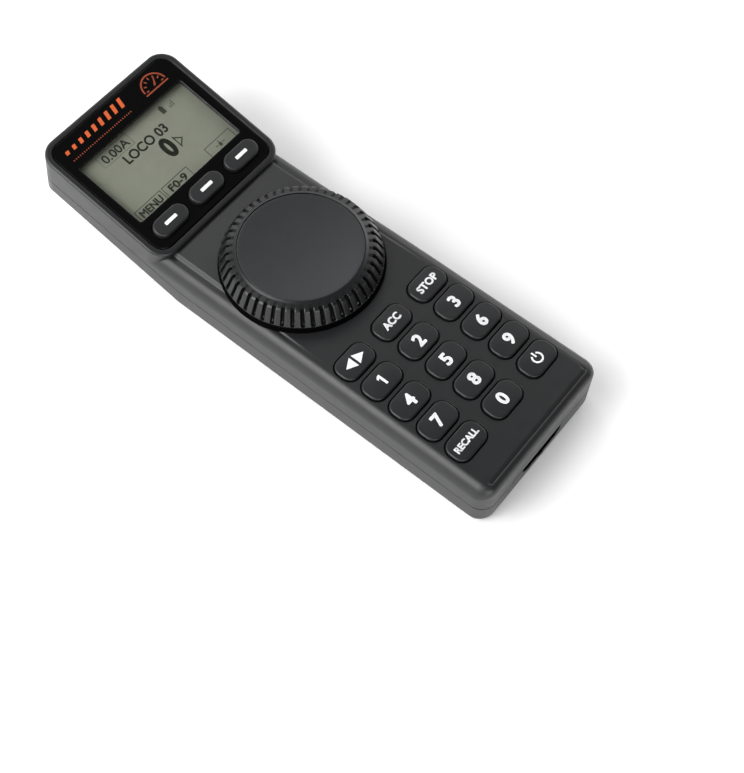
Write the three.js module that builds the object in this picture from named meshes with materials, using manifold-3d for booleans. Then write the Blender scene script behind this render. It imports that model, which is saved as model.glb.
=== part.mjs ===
// Wireless hand controller: a two-part case with a tilted display head, a knurled speed dial,
// fifteen keys in a grid, three soft keys under the display, and a battery bay behind the keys.
//
// Millimetres. The controller lies on its back: +Z points out of the front panel, +Y towards the
// display head and +X to the user's right. While it is being built, y = 0 is the dial's axis and
// z = 0 is the surface it lies on. The last step centres it on y.

import * as THREE from 'three';
import { mergeVertices } from 'three/addons/utils/BufferGeometryUtils.js';
import Module from 'manifold-3d';

const wasm = await Module();
wasm.setup();

// ---------------------------------------------------------------- driving dimensions

const CASE_WIDTH = 64.6;
const DIAL_TO_HEAD = 36.1;
const HEAD_LENGTH = 60.7;
const HEAD_TILT = THREE.MathUtils.degToRad(13.4);
const HEAD_STEP = 1.4;
const HEAD_END_DRAFT = THREE.MathUtils.degToRad(5);
const BACK_TILT = THREE.MathUtils.degToRad(15);
const DIAL_TO_KNEE = 33.6;

const WALL = 2;
const SEAM_DEPTH = 12.5;
const SEAM_GAP = 0.3;
const FIT = 0.3;
const SHOULDER_RADIUS = 6;
const BACK_RADIUS = 3.5;
const END_RADIUS = 4.5;
const GRIP_CORNER_RADIUS = 6;
const HEAD_CORNER_RADIUS = 7.5;
const HEAD_EDGE_RADIUS = 1;
const ARC_STEPS = 4;
const COARSE_ARCS = { curveSegments: 3 };
const ROUND_SIDES = 24;
const SMALL_ROUND_SIDES = 12;

const RIM_WIDTH = 2.4;
const FACE_THICKNESS = 1.6;
const FACE_LEDGE_WIDTH = 2;
const FACE_LEDGE_THICKNESS = 2.2;
const FACE_FIT = 0.2;

const VIEW_WIDTH = 52.2;
const VIEW_HEIGHT = 29.8;
const VIEW_FROM_STEP = 31.2;
const VIEW_CORNER_RADIUS = 0.8;
const WINDOW_THICKNESS = 0.9;
const LCD_MARGIN = 0.9;
const LCD_THICKNESS = 4;
const HOLDER_SIDE = 1.5;
const HOLDER_THICKNESS = 2.4;
const BOARD_THICKNESS = 1.2;
const BOARD_CORNER_RADIUS = 2;

const SOFT_KEY_LENGTH = 15.2;
const SOFT_KEY_WIDTH = 7.4;
const SOFT_KEY_PITCH = 18.56;
const SOFT_KEY_FROM_STEP = 9.2;
const SOFT_KEY_RISE = 2;
const SOFT_KEY_EDGE = 0.6;
const SOFT_KEY_ROUNDNESS = 0.49;
const SOFT_KEY_TRAVEL = 0.8;
const SOFT_KEY_FLANGE = 0.8;

const KEY_LENGTH = 14.9;
const KEY_WIDTH = 9.5;
const KEY_CORNER_RADIUS = 3.8;
const KEY_PITCH_ACROSS = 19.8;
const KEY_PITCH_ALONG = 11.72;
const DIAL_TO_FIRST_KEYS = 40.2;
const LAST_KEYS_TO_BOTTOM = 18.12;
const KEY_RISE = 1;
const KEY_EDGE = 0.5;
const KEY_TRAVEL = 1;
const KEY_GAP = 0.45;
const KEY_FLANGE_ACROSS = 1;
const KEY_FLANGE_ALONG = 0.85;
const KEY_FLANGE_THICKNESS = 0.7;
const DOME_RADIUS = 2.5;
const DOME_HEIGHT = 0.5;
const MAT_THICKNESS = 0.8;

const DIAL_RADIUS = 29.5;
const DIAL_TOP_RADIUS = 25.4;
const DIAL_HEIGHT = 9;
const DIAL_SKIRT_HEIGHT = 1.2;
const DIAL_WALL = 2.2;
const DIAL_GROOVES = 50;
const DIAL_GROOVE_WIDTH = 1.3;
const DIAL_GROOVE_DEPTH = 0.8;
const DIAL_TOP_EDGE = 1.4;
const CAP_RADIUS = 22.35;
const CAP_THICKNESS = 1.2;
const CAP_RECESS = 0.4;
const CAP_EDGE = 0.25;
const HUB_RADIUS = 6;
const SHAFT_RADIUS = 3;
const SHAFT_PRESS_GAP = 0.1;
const BUSH_RADIUS = 4.4;
const BUSH_HEIGHT = 5.2;
const NUT_ACROSS_FLATS = 12;
const NUT_HEIGHT = 2.1;
const ENCODER_SIDE = 13;
const ENCODER_HEIGHT = 6.5;

const CELL_RADIUS = 7.15;
const CELL_LENGTH = 49.2;
const CELL_NUB_RADIUS = 2.7;
const CELL_NUB_LENGTH = 1.2;
const CELL_EDGE = 0.5;
const CELL_GAP = 0.7;
const CELL_CLEARANCE = 0.35;
const CELLS_TO_PANEL = 7.15;
const COVER_THICKNESS = 1.8;
const COVER_TAB_WIDTH = 21.5;
const COVER_SLOT_HEIGHT = 2.8;
const COVER_NOTCH_WIDTH = 4;
const COVER_NOTCH_HEIGHT = 1.2;
const COVER_NOTCH_DEPTH = 0.9;
const RAIL_WIDTH = 1.2;
const RAIL_THICKNESS = 1;
const BAY_WALL = 1.2;
const CONTACT_THICKNESS = 0.4;
const CONTACT_WIDTH = 11;
const CONTACT_HEIGHT = 10;
const SPRING_LENGTH = 2.6;
const SPRING_RADIUS = 3.2;
const SPRING_TIP_RADIUS = 2.2;
const SPRING_TURNS = 3;
const SPRING_WIRE_RADIUS = 0.35;
const SPRING_STEPS = 30;

const SCREW_HEAD_RADIUS = 2.3;
const SCREW_HEAD_HEIGHT = 1.6;
const SCREW_RADIUS = 1.2;
const SCREW_LENGTH = 13;
const SCREW_SINK = 1.2;
const BOSS_RADIUS = 3;
const BOSS_FROM_SIDE = 5.8;
const BOSS_FROM_BOTTOM = 6.6;
const BOSS_FROM_HEAD_END = 7.2;

const RADIO_SIZE = { across: 20, along: 16, thickness: 2.4 };
const RIBBON_WIDTH = 14;
const RIBBON_THICKNESS = 0.3;
const RIBBON_STEPS = 14;
const RIBBON_SAG = 3;
const RIBBON_LAP = 4;

// ---------------------------------------------------------------- places worked out from them

const KEY_NAMES = [
  ['key_direction', 'key_function', 'key_stop'],
  ['key_1', 'key_2', 'key_3'],
  ['key_4', 'key_5', 'key_6'],
  ['key_7', 'key_8', 'key_9'],
  ['key_recall', 'key_0', 'key_power'],
];

// The rows of keys set how far the grip reaches, and the cells set how thick it is.
const FIRST_KEYS_Y = -DIAL_TO_FIRST_KEYS;
const LAST_KEYS_Y = FIRST_KEYS_Y - (KEY_NAMES.length - 1) * KEY_PITCH_ALONG;
const HALF_WIDTH = CASE_WIDTH / 2;
const BOTTOM_Y = LAST_KEYS_Y - LAST_KEYS_TO_BOTTOM;
const CELL_AXIS_Z = COVER_THICKNESS + CELL_CLEARANCE + CELL_RADIUS;
const CELL_SPACING = 2 * CELL_RADIUS + CELL_GAP;
const GRIP_THICKNESS = CELL_AXIS_Z + CELL_RADIUS + CELLS_TO_PANEL;
const PANEL_Z = GRIP_THICKNESS;
const PANEL_UNDERSIDE_Z = PANEL_Z - WALL;
const SEAM_Z = PANEL_Z - SEAM_DEPTH;
const HEAD_FACE_Z = PANEL_Z + HEAD_STEP;
const FACE_RECESS = FACE_THICKNESS + FACE_FIT;
const HEAD_FRONT_WALL = FACE_RECESS + FACE_LEDGE_THICKNESS;
const BIG = 400;

// The flange of a key hangs under the panel, and the dome mat lies under the flange's lowest place.
const KEY_BOTTOM_Z = PANEL_UNDERSIDE_Z - FIT - KEY_FLANGE_THICKNESS;
const DOME_TOP_Z = KEY_BOTTOM_Z - KEY_TRAVEL - FIT / 3;
const MAT_TOP_Z = DOME_TOP_Z - DOME_HEIGHT;
const MAIN_BOARD_TOP_Z = MAT_TOP_Z - MAT_THICKNESS - FIT / 3;
const MAIN_BOARD_BOTTOM_Z = MAIN_BOARD_TOP_Z - BOARD_THICKNESS;

// Depths under the head's face, measured along its normal.
const WINDOW_DEPTH = FACE_THICKNESS + FACE_FIT / 2;
const LCD_DEPTH = WINDOW_DEPTH + WINDOW_THICKNESS + FIT;
const HOLDER_DEPTH = HEAD_FRONT_WALL + 2 * FIT;
const DISPLAY_BOARD_DEPTH = Math.max(LCD_DEPTH + LCD_THICKNESS, HOLDER_DEPTH + HOLDER_THICKNESS) + FIT;
const SOFT_KEY_BOTTOM_DEPTH = FACE_THICKNESS + FIT + SOFT_KEY_FLANGE;
const SOFT_DOME_DEPTH = SOFT_KEY_BOTTOM_DEPTH + SOFT_KEY_TRAVEL + FIT / 3;

// The battery bay: its cover, the two cells and the contacts at their ends.
const COVER_HALF_WIDTH = CELL_SPACING / 2 + CELL_RADIUS + CELL_CLEARANCE;
const BAY_HALF_WIDTH = COVER_HALF_WIDTH + RAIL_WIDTH + 2 * FIT;
const LINK_RIB_Y = BOTTOM_Y + WALL + FIT;
const LINK_PLATE_Y = LINK_RIB_Y + BAY_WALL + FIT;
const CELLS_LOW_Y = LINK_PLATE_Y + CONTACT_THICKNESS + SPRING_LENGTH + FIT;
const CELLS_HIGH_Y = CELLS_LOW_Y + CELL_LENGTH;
const TERMINAL_Y = CELLS_HIGH_Y + SPRING_LENGTH + FIT;
const BAY_END_Y = TERMINAL_Y + CONTACT_THICKNESS + FIT;
const BAY_TOP_Z = MAIN_BOARD_BOTTOM_Z - FIT;

// ---------------------------------------------------------------- solids

// Directions that a flat shape (its x, its y) can be drawn and thickened in.
const FROM_ABOVE = new THREE.Matrix4();
const FROM_THE_SIDE = new THREE.Matrix4().makeBasis(
  new THREE.Vector3(0, 1, 0), new THREE.Vector3(0, 0, 1), new THREE.Vector3(1, 0, 0));
const FROM_THE_HEAD = new THREE.Matrix4().makeBasis(
  new THREE.Vector3(1, 0, 0), new THREE.Vector3(0, 0, 1), new THREE.Vector3(0, -1, 0));

function solidOf(geometry) {
  const bare = geometry.clone();
  bare.deleteAttribute('normal');
  bare.deleteAttribute('uv');
  const merged = mergeVertices(bare, 1e-5);
  return new wasm.Manifold(new wasm.Mesh({
    numProp: 3,
    vertProperties: Float32Array.from(merged.attributes.position.array),
    triVerts: Uint32Array.from(merged.index.array),
  }));
}

function geometryOf(solid) {
  const mesh = solid.getMesh();
  const geometry = new THREE.BufferGeometry();
  geometry.setAttribute('position', new THREE.BufferAttribute(mesh.vertProperties, 3));
  geometry.setIndex(new THREE.BufferAttribute(mesh.triVerts, 1));
  geometry.computeVertexNormals();
  return geometry;
}

function moved(solid, x, y, z) {
  return solid.translate([x, y, z]);
}

function union(solids) {
  return solids.reduce((whole, solid) => whole.add(solid));
}

function extruded(shape, depth, direction = FROM_ABOVE, options = {}) {
  const geometry = new THREE.ExtrudeGeometry(shape, {
    depth, bevelEnabled: false, curveSegments: ARC_STEPS, ...options,
  });
  geometry.applyMatrix4(direction);
  return solidOf(geometry);
}

// A shape standing from `low` to `high`, with its top edge bevelled by `edge`.
function bevelled(shape, edge, low, high, options = {}) {
  const solid = extruded(shape, high - low, FROM_ABOVE, {
    bevelEnabled: true, bevelThickness: edge, bevelSize: edge, bevelOffset: -edge, bevelSegments: 1,
    ...options,
  });
  return moved(solid, 0, 0, low - edge).intersect(block([-BIG, -BIG, low], [BIG, BIG, BIG]));
}

// A shape thickened both ways from the middle plane x = 0.
function extrudedAcross(shape, width) {
  return moved(extruded(shape, width, FROM_THE_SIDE), -width / 2, 0, 0);
}

function block(low, high) {
  const size = high.map((value, axis) => value - low[axis]);
  const centre = high.map((value, axis) => (value + low[axis]) / 2);
  return moved(solidOf(new THREE.BoxGeometry(...size)), ...centre);
}

function post(radius, low, high, sides = ROUND_SIDES) {
  const cylinder = new THREE.CylinderGeometry(radius, radius, high - low, sides);
  cylinder.rotateX(Math.PI / 2);
  return moved(solidOf(cylinder), 0, 0, (low + high) / 2);
}

function polygon(points) {
  return new THREE.Shape(points.map(([x, y]) => new THREE.Vector2(x, y)));
}

function roundedRectangle(width, height, radius, radiusLow = radius) {
  const right = width / 2;
  const top = height / 2;
  const shape = new THREE.Shape();
  shape.absarc(right - radius, top - radius, radius, 0, Math.PI / 2);
  shape.absarc(-right + radius, top - radius, radius, Math.PI / 2, Math.PI);
  shape.absarc(-right + radiusLow, -top + radiusLow, radiusLow, Math.PI, Math.PI * 1.5);
  shape.absarc(right - radiusLow, -top + radiusLow, radiusLow, Math.PI * 1.5, Math.PI * 2);
  shape.closePath();
  return shape;
}

// ---------------------------------------------------------------- the head's own frame

// Its x is the case's x, its y runs up the face from the step, and its z is the face's normal.
const HEAD_FRAME = new THREE.Matrix4()
  .makeTranslation(0, DIAL_TO_HEAD, HEAD_FACE_Z)
  .multiply(new THREE.Matrix4().makeRotationX(HEAD_TILT));

function inHeadFrame(solid) {
  return solid.transform(HEAD_FRAME.elements);
}

function headPoint(along, depth) {
  const point = new THREE.Vector3(0, along, -depth).applyMatrix4(HEAD_FRAME);
  return [point.y, point.z];
}

function backSlopeZ(y, inset = 0) {
  return (y - DIAL_TO_KNEE) * Math.tan(BACK_TILT) + inset / Math.cos(BACK_TILT);
}

// ---------------------------------------------------------------- the case

// The grip, `inset` inside its outer skin: a section along y, cut to its outlines from the side
// and from above. It runs on under the head.
function gripBlock(inset) {
  const underHead = DIAL_TO_HEAD + HEAD_CORNER_RADIUS + 2 * WALL;
  const bottom = BOTTOM_Y + inset;
  const width = CASE_WIDTH - 2 * inset;
  const height = GRIP_THICKNESS - 2 * inset;
  const length = underHead - bottom;
  const section = roundedRectangle(width, height, SHOULDER_RADIUS - inset, BACK_RADIUS - inset);
  const fromHead = moved(extruded(section, length, FROM_THE_HEAD), 0, underHead, GRIP_THICKNESS / 2);
  const outline = roundedRectangle(width, 2 * length, GRIP_CORNER_RADIUS - inset);
  const fromAbove = moved(extruded(outline, BIG), 0, bottom + length, -BIG / 2);
  const side = new THREE.Shape();
  const endRadius = END_RADIUS - inset;
  const backRadius = BACK_RADIUS - inset;
  side.moveTo(underHead, backSlopeZ(underHead, inset));
  side.lineTo(underHead, PANEL_Z - inset);
  side.absarc(bottom + endRadius, PANEL_Z - inset - endRadius, endRadius, Math.PI / 2, Math.PI);
  side.absarc(bottom + backRadius, inset + backRadius, backRadius, Math.PI, Math.PI * 1.5);
  side.lineTo(DIAL_TO_KNEE - inset * Math.tan(BACK_TILT / 2), inset);
  side.closePath();
  return fromHead.intersect(fromAbove).intersect(extrudedAcross(side, BIG));
}

function headOutline(inset) {
  return roundedRectangle(CASE_WIDTH - 2 * inset, HEAD_LENGTH - 2 * inset, HEAD_CORNER_RADIUS - inset);
}

// The head, `inset` inside its outer skin and `faceInset` under its face.
function headBlock(inset, faceInset) {
  const low = HEAD_CORNER_RADIUS + WALL;
  const outline = headOutline(inset);
  const edge = inset > 0 ? {} : {
    bevelEnabled: true, bevelThickness: HEAD_EDGE_RADIUS, bevelSize: HEAD_EDGE_RADIUS,
    bevelOffset: -HEAD_EDGE_RADIUS, bevelSegments: 2,
  };
  const depth = HEAD_FACE_Z * 2;
  const upright = moved(extruded(outline, depth, FROM_ABOVE, edge),
    0, HEAD_LENGTH / 2, -depth - (inset > 0 ? faceInset : HEAD_EDGE_RADIUS));
  const [, knee] = headPoint(-low, 0);
  const top = headPoint(HEAD_LENGTH, 0);
  const draft = HEAD_TILT - HEAD_END_DRAFT;
  const slope = Math.tan(BACK_TILT);
  const drop = (top[1] - backSlopeZ(top[0], inset)) / (Math.cos(draft) + slope * Math.sin(draft));
  const endY = top[0] - inset + drop * Math.sin(draft);
  const side = polygon([
    [DIAL_TO_HEAD - low, knee + BIG], [DIAL_TO_HEAD - low, backSlopeZ(DIAL_TO_HEAD - low, inset)],
    [endY, backSlopeZ(endY, inset)], [top[0] - inset, top[1]],
    [top[0] - inset - BIG * Math.sin(draft) / 2, top[1] + BIG / 2],
  ]);
  return inHeadFrame(upright).intersect(extrudedAcross(side, BIG));
}

// Everything over the sloping back behind the knee, with the back's rounded long edges.
function aboveBackSlope(inset) {
  const section = roundedRectangle(CASE_WIDTH - 2 * inset, BIG, BACK_RADIUS - inset);
  return extruded(section, BIG, FROM_THE_HEAD)
    .translate([0, BIG / 2, BIG / 2 + inset])
    .rotate([THREE.MathUtils.radToDeg(BACK_TILT), 0, 0])
    .translate([0, DIAL_TO_KNEE, 0]);
}

function caseSolid(inset, faceInset = inset) {
  return gripBlock(inset).add(headBlock(inset, faceInset)).intersect(aboveBackSlope(inset));
}

// Everything above the parting line, or above a line `lift` higher.
function aboveSeam(lift) {
  const [startY, startZ] = headPoint(0, SEAM_DEPTH - lift / Math.cos(HEAD_TILT));
  const kneeY = startY - (startZ - SEAM_Z - lift) / Math.tan(HEAD_TILT);
  return extrudedAcross(polygon([
    [-BIG, SEAM_Z + lift], [kneeY, SEAM_Z + lift],
    [BIG, SEAM_Z + lift + (BIG - kneeY) * Math.tan(HEAD_TILT)], [BIG, BIG], [-BIG, BIG],
  ]), BIG);
}

const outerCase = caseSolid(0);
const innerCase = caseSolid(WALL, HEAD_FRONT_WALL);
const caseSkin = outerCase.subtract(innerCase);

// ---------------------------------------------------------------- places of screws, keys and cells

const GRIP_BOSSES = [-1, 1].flatMap((side) => [
  { x: side * (HALF_WIDTH - BOSS_FROM_SIDE), y: KEY_PITCH_ALONG - DIAL_TO_FIRST_KEYS },
  { x: side * (HALF_WIDTH - BOSS_FROM_SIDE - BOSS_RADIUS), y: BOTTOM_Y + BOSS_FROM_BOTTOM },
]);
const HEAD_BOSSES = [-1, 1].map((side) => ({
  x: side * (HALF_WIDTH - BOSS_FROM_HEAD_END), y: HEAD_LENGTH - BOSS_FROM_HEAD_END,
}));

const KEYS = KEY_NAMES.flatMap((names, row) => names.map((name, column) => ({
  name, x: (column - 1) * KEY_PITCH_ACROSS, y: FIRST_KEYS_Y - row * KEY_PITCH_ALONG,
})));
const SOFT_KEYS = ['left', 'middle', 'right'].map((place, index) => ({
  name: `soft_key_${place}`, x: (index - 1) * SOFT_KEY_PITCH,
}));

// Depth of the head's back face under the head's front face at a distance up the face.
function headBackDepth(along) {
  const [y, z] = headPoint(along, 0);
  const fall = z - backSlopeZ(y);
  return fall / (Math.cos(HEAD_TILT) + Math.sin(HEAD_TILT) * Math.tan(BACK_TILT));
}

// A screw's hole: the clearance for its shank with the wide recess for its head at the bottom.
function screwHole(backZ) {
  const shank = post(SCREW_RADIUS + FIT, backZ - FIT, backZ + SCREW_SINK + SCREW_LENGTH + FIT,
    SMALL_ROUND_SIDES);
  const recess = post(SCREW_HEAD_RADIUS + FIT, backZ - WALL, backZ + SCREW_SINK + SCREW_HEAD_HEIGHT + FIT,
    SMALL_ROUND_SIDES);
  return shank.add(recess);
}

function bossColumns(low) {
  const grip = GRIP_BOSSES.map(({ x, y }) => moved(
    post(BOSS_RADIUS, low, PANEL_Z - WALL / 2, SMALL_ROUND_SIDES), x, y, 0));
  const headTop = -FACE_RECESS - FACE_LEDGE_THICKNESS / 2;
  const head = HEAD_BOSSES.map(({ x, y }) => inHeadFrame(
    moved(post(BOSS_RADIUS, -headBackDepth(y) + low, headTop, SMALL_ROUND_SIDES), x, y, 0)));
  return union([...grip, ...head]).intersect(outerCase);
}

function screwHoles() {
  const grip = GRIP_BOSSES.map(({ x, y }) => moved(screwHole(0), x, y, 0));
  const head = HEAD_BOSSES.map(({ x, y }) => inHeadFrame(moved(screwHole(-headBackDepth(y)), x, y, 0)));
  return union([...grip, ...head]);
}

// ---------------------------------------------------------------- shells

function keyOutline(growAcross, growAlong) {
  return roundedRectangle(
    KEY_LENGTH + 2 * growAcross, KEY_WIDTH + 2 * growAlong, KEY_CORNER_RADIUS + growAlong);
}

function softKeyOutline(grow) {
  const width = SOFT_KEY_WIDTH + 2 * grow;
  return roundedRectangle(SOFT_KEY_LENGTH + 2 * grow, width, width * SOFT_KEY_ROUNDNESS);
}

function frontShell() {
  const keyHoles = KEYS.map(({ x, y }) => moved(
    extruded(keyOutline(KEY_GAP, KEY_GAP), WALL * 2, FROM_ABOVE, COARSE_ARCS), x, y, PANEL_Z - WALL * 1.5));
  const flangesX = KEY_PITCH_ACROSS + KEY_LENGTH / 2 + KEY_FLANGE_ACROSS + FIT;
  const flangeReach = KEY_WIDTH / 2 + KEY_FLANGE_ALONG + FIT;
  const flangePocket = block([-flangesX, LAST_KEYS_Y - flangeReach, PANEL_UNDERSIDE_Z - WALL],
    [flangesX, FIRST_KEYS_Y + flangeReach, PANEL_UNDERSIDE_Z]);
  const dialHole = post(BUSH_RADIUS + FIT, PANEL_Z - WALL * 2, PANEL_Z + WALL);
  const recess = extruded(headOutline(RIM_WIDTH), FACE_RECESS * 2);
  const ledgeHole = extruded(headOutline(RIM_WIDTH + FACE_LEDGE_WIDTH), BIG);
  const faceOpening = union([
    moved(recess, 0, HEAD_LENGTH / 2, -FACE_RECESS),
    moved(ledgeHole, 0, HEAD_LENGTH / 2, -HEAD_FRONT_WALL - FIT),
  ]);
  return caseSkin
    .add(bossColumns(SEAM_Z))
    .intersect(aboveSeam(SEAM_GAP / 2))
    .subtract(union([...keyHoles, flangePocket, dialHole, inHeadFrame(faceOpening), screwHoles()]));
}

function batteryOpening() {
  const endWall = BOTTOM_Y + WALL + FIT;
  const railExit = BOTTOM_Y + WALL * 2;
  return union([
    block([-COVER_HALF_WIDTH - FIT, BOTTOM_Y - WALL, -WALL], [COVER_HALF_WIDTH + FIT, BAY_END_Y, WALL * 2]),
    block([-COVER_TAB_WIDTH / 2 - FIT, BOTTOM_Y - WALL, -WALL],
      [COVER_TAB_WIDTH / 2 + FIT, endWall, SEAM_Z + WALL]),
    block([-BAY_HALF_WIDTH, BOTTOM_Y - WALL, WALL],
      [BAY_HALF_WIDTH, railExit, WALL + RAIL_THICKNESS + 2 * FIT]),
  ]);
}

// The bay's two long walls, its far end and the rib that holds the link plate.
function bayWalls() {
  const sides = [-1, 1].map((side) => moved(
    block([-BAY_WALL / 2, BOTTOM_Y + WALL / 2, WALL / 2],
      [BAY_WALL / 2, BAY_END_Y + BAY_WALL, SEAM_Z - SEAM_GAP]),
    side * (BAY_HALF_WIDTH + BAY_WALL / 2), 0, 0));
  const reach = BAY_HALF_WIDTH + BAY_WALL / 2;
  const end = block([-reach, BAY_END_Y, WALL / 2], [reach, BAY_END_Y + BAY_WALL, BAY_TOP_Z]);
  const rib = block(
    [-reach, LINK_RIB_Y + FIT, WALL + RAIL_THICKNESS + 2 * FIT],
    [reach, LINK_RIB_Y + BAY_WALL, SEAM_Z - SEAM_GAP]);
  return union([...sides, end, rib]);
}

function rearShell() {
  return caseSkin
    .add(bossColumns(0))
    .subtract(aboveSeam(-SEAM_GAP / 2))
    .add(bayWalls())
    .subtract(union([batteryOpening(), screwHoles()]));
}

// The cover slides out past the bottom end on two rails. Its tab fills the notch in the end wall
// up to a nail slot under the front shell.
function batteryCover() {
  const far = BAY_END_Y - FIT;
  const plate = block([-COVER_HALF_WIDTH, BOTTOM_Y, 0], [COVER_HALF_WIDTH, far, COVER_THICKNESS]);
  const tab = block([-COVER_TAB_WIDTH / 2, BOTTOM_Y, 0],
    [COVER_TAB_WIDTH / 2, BOTTOM_Y + WALL, SEAM_Z + SEAM_GAP / 2 - COVER_SLOT_HEIGHT]);
  const railLow = WALL + FIT;
  const rails = [-1, 1].map((side) => {
    const web = block([-RAIL_WIDTH / 2, BOTTOM_Y + WALL, 0], [RAIL_WIDTH / 2, far, railLow + RAIL_THICKNESS]);
    const tongue = block([-RAIL_WIDTH / 2, BOTTOM_Y + WALL, railLow],
      [RAIL_WIDTH / 2, far, railLow + RAIL_THICKNESS]);
    return moved(web, side * (COVER_HALF_WIDTH - RAIL_WIDTH / 2), 0, 0)
      .add(moved(tongue, side * (COVER_HALF_WIDTH + RAIL_WIDTH / 2), 0, 0));
  });
  const notchLow = SEAM_Z - COVER_SLOT_HEIGHT - COVER_NOTCH_HEIGHT;
  const notch = block([-COVER_NOTCH_WIDTH / 2, BOTTOM_Y - WALL, notchLow],
    [COVER_NOTCH_WIDTH / 2, BOTTOM_Y + COVER_NOTCH_DEPTH, SEAM_Z]);
  return union([plate, tab, ...rails]).intersect(outerCase).subtract(notch);
}

// ---------------------------------------------------------------- head parts, in the head's frame

const HEAD_BOARD_WIDTH = VIEW_WIDTH + 2 * (LCD_MARGIN + HOLDER_SIDE);
const HEAD_BOARD_LOW = RIM_WIDTH + LCD_MARGIN;
const HEAD_BOARD_HIGH = HEAD_LENGTH - BOSS_FROM_HEAD_END - BOSS_RADIUS - FIT;
const HEAD_BOARD_LENGTH = HEAD_BOARD_HIGH - HEAD_BOARD_LOW;
const HEAD_BOARD_CENTRE = (HEAD_BOARD_HIGH + HEAD_BOARD_LOW) / 2;

function plateBelow(shape, centreY, depth, thickness) {
  return moved(extruded(shape, thickness), 0, centreY, -depth - thickness);
}

function facePlate() {
  const plate = plateBelow(headOutline(RIM_WIDTH + FACE_FIT), HEAD_LENGTH / 2, 0, FACE_THICKNESS);
  const viewOutline = roundedRectangle(VIEW_WIDTH, VIEW_HEIGHT, VIEW_CORNER_RADIUS);
  const view = plateBelow(viewOutline, VIEW_FROM_STEP, -WALL, WALL * 3);
  const holes = SOFT_KEYS.map(({ x }) => moved(
    plateBelow(softKeyOutline(FIT), SOFT_KEY_FROM_STEP, -WALL, WALL * 3), x, 0, 0));
  return plate.subtract(union([view, ...holes]));
}

function displayWindow() {
  const shape = roundedRectangle(VIEW_WIDTH + LCD_MARGIN, VIEW_HEIGHT + LCD_MARGIN, VIEW_CORNER_RADIUS);
  return plateBelow(shape, VIEW_FROM_STEP, WINDOW_DEPTH, WINDOW_THICKNESS);
}

function lcdPanel() {
  const shape = roundedRectangle(
    VIEW_WIDTH + 2 * LCD_MARGIN - FIT, VIEW_HEIGHT + 2 * LCD_MARGIN - FIT, VIEW_CORNER_RADIUS);
  return plateBelow(shape, VIEW_FROM_STEP, LCD_DEPTH, LCD_THICKNESS);
}

function lcdHolder() {
  const outline = roundedRectangle(HEAD_BOARD_WIDTH, HEAD_BOARD_LENGTH, BOARD_CORNER_RADIUS);
  const frame = plateBelow(outline, HEAD_BOARD_CENTRE, HOLDER_DEPTH, HOLDER_THICKNESS);
  const pocket = roundedRectangle(
    VIEW_WIDTH + 2 * LCD_MARGIN + FIT, VIEW_HEIGHT + 2 * LCD_MARGIN + FIT, VIEW_CORNER_RADIUS);
  return frame.subtract(plateBelow(pocket, VIEW_FROM_STEP, 0, HOLDER_DEPTH * 3));
}

function displayBoard() {
  const outline = roundedRectangle(HEAD_BOARD_WIDTH, HEAD_BOARD_LENGTH, BOARD_CORNER_RADIUS);
  return plateBelow(outline, HEAD_BOARD_CENTRE, DISPLAY_BOARD_DEPTH, BOARD_THICKNESS);
}

function radioModule() {
  const { across, along, thickness } = RADIO_SIZE;
  const depth = DISPLAY_BOARD_DEPTH + BOARD_THICKNESS + FIT;
  const shape = roundedRectangle(across, along, BOARD_CORNER_RADIUS);
  return plateBelow(shape, HEAD_BOARD_CENTRE + along / 2, depth, thickness);
}

// A pill with a rounded top edge, and a wider flange that stays under the face plate.
function softKey(x) {
  const cap = bevelled(softKeyOutline(0), SOFT_KEY_EDGE, -SOFT_KEY_BOTTOM_DEPTH, SOFT_KEY_RISE);
  const flange = plateBelow(softKeyOutline(SOFT_KEY_FLANGE), 0, FACE_THICKNESS + FIT, SOFT_KEY_FLANGE);
  return moved(cap.add(flange), x, SOFT_KEY_FROM_STEP, 0);
}

function softKeyMat() {
  const width = SOFT_KEY_PITCH * 2 + SOFT_KEY_LENGTH;
  const baseDepth = SOFT_DOME_DEPTH + FIT;
  const base = plateBelow(roundedRectangle(width, SOFT_KEY_WIDTH, BOARD_CORNER_RADIUS),
    SOFT_KEY_FROM_STEP, baseDepth, HOLDER_DEPTH - baseDepth - FACE_FIT / 2);
  const domes = SOFT_KEYS.map(({ x }) => moved(
    post(DOME_RADIUS, -baseDepth - FIT, -SOFT_DOME_DEPTH, SMALL_ROUND_SIDES), x, SOFT_KEY_FROM_STEP, 0));
  return union([base, ...domes]);
}

// ---------------------------------------------------------------- keypad and boards

// A rounded cap through the panel and a wider flange under it.
function keySolid() {
  const cap = bevelled(keyOutline(0, 0), KEY_EDGE, KEY_BOTTOM_Z, PANEL_Z + KEY_RISE, COARSE_ARCS);
  const outline = keyOutline(KEY_FLANGE_ACROSS, KEY_FLANGE_ALONG);
  const flange = extruded(outline, KEY_FLANGE_THICKNESS, FROM_ABOVE, COARSE_ARCS);
  return cap.add(moved(flange, 0, 0, KEY_BOTTOM_Z));
}

function keypadMat() {
  const width = 2 * KEY_PITCH_ACROSS + KEY_LENGTH;
  const length = FIRST_KEYS_Y - LAST_KEYS_Y + KEY_WIDTH;
  const centre = (FIRST_KEYS_Y + LAST_KEYS_Y) / 2;
  const outline = roundedRectangle(width, length, BOARD_CORNER_RADIUS);
  const base = moved(extruded(outline, MAT_THICKNESS), 0, centre, MAT_TOP_Z - MAT_THICKNESS);
  const dome = post(DOME_RADIUS, MAT_TOP_Z - MAT_THICKNESS / 2, DOME_TOP_Z, SMALL_ROUND_SIDES);
  const domes = KEYS.map(({ x, y }) => moved(dome, x, y, 0));
  return union([base, ...domes]);
}

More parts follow.
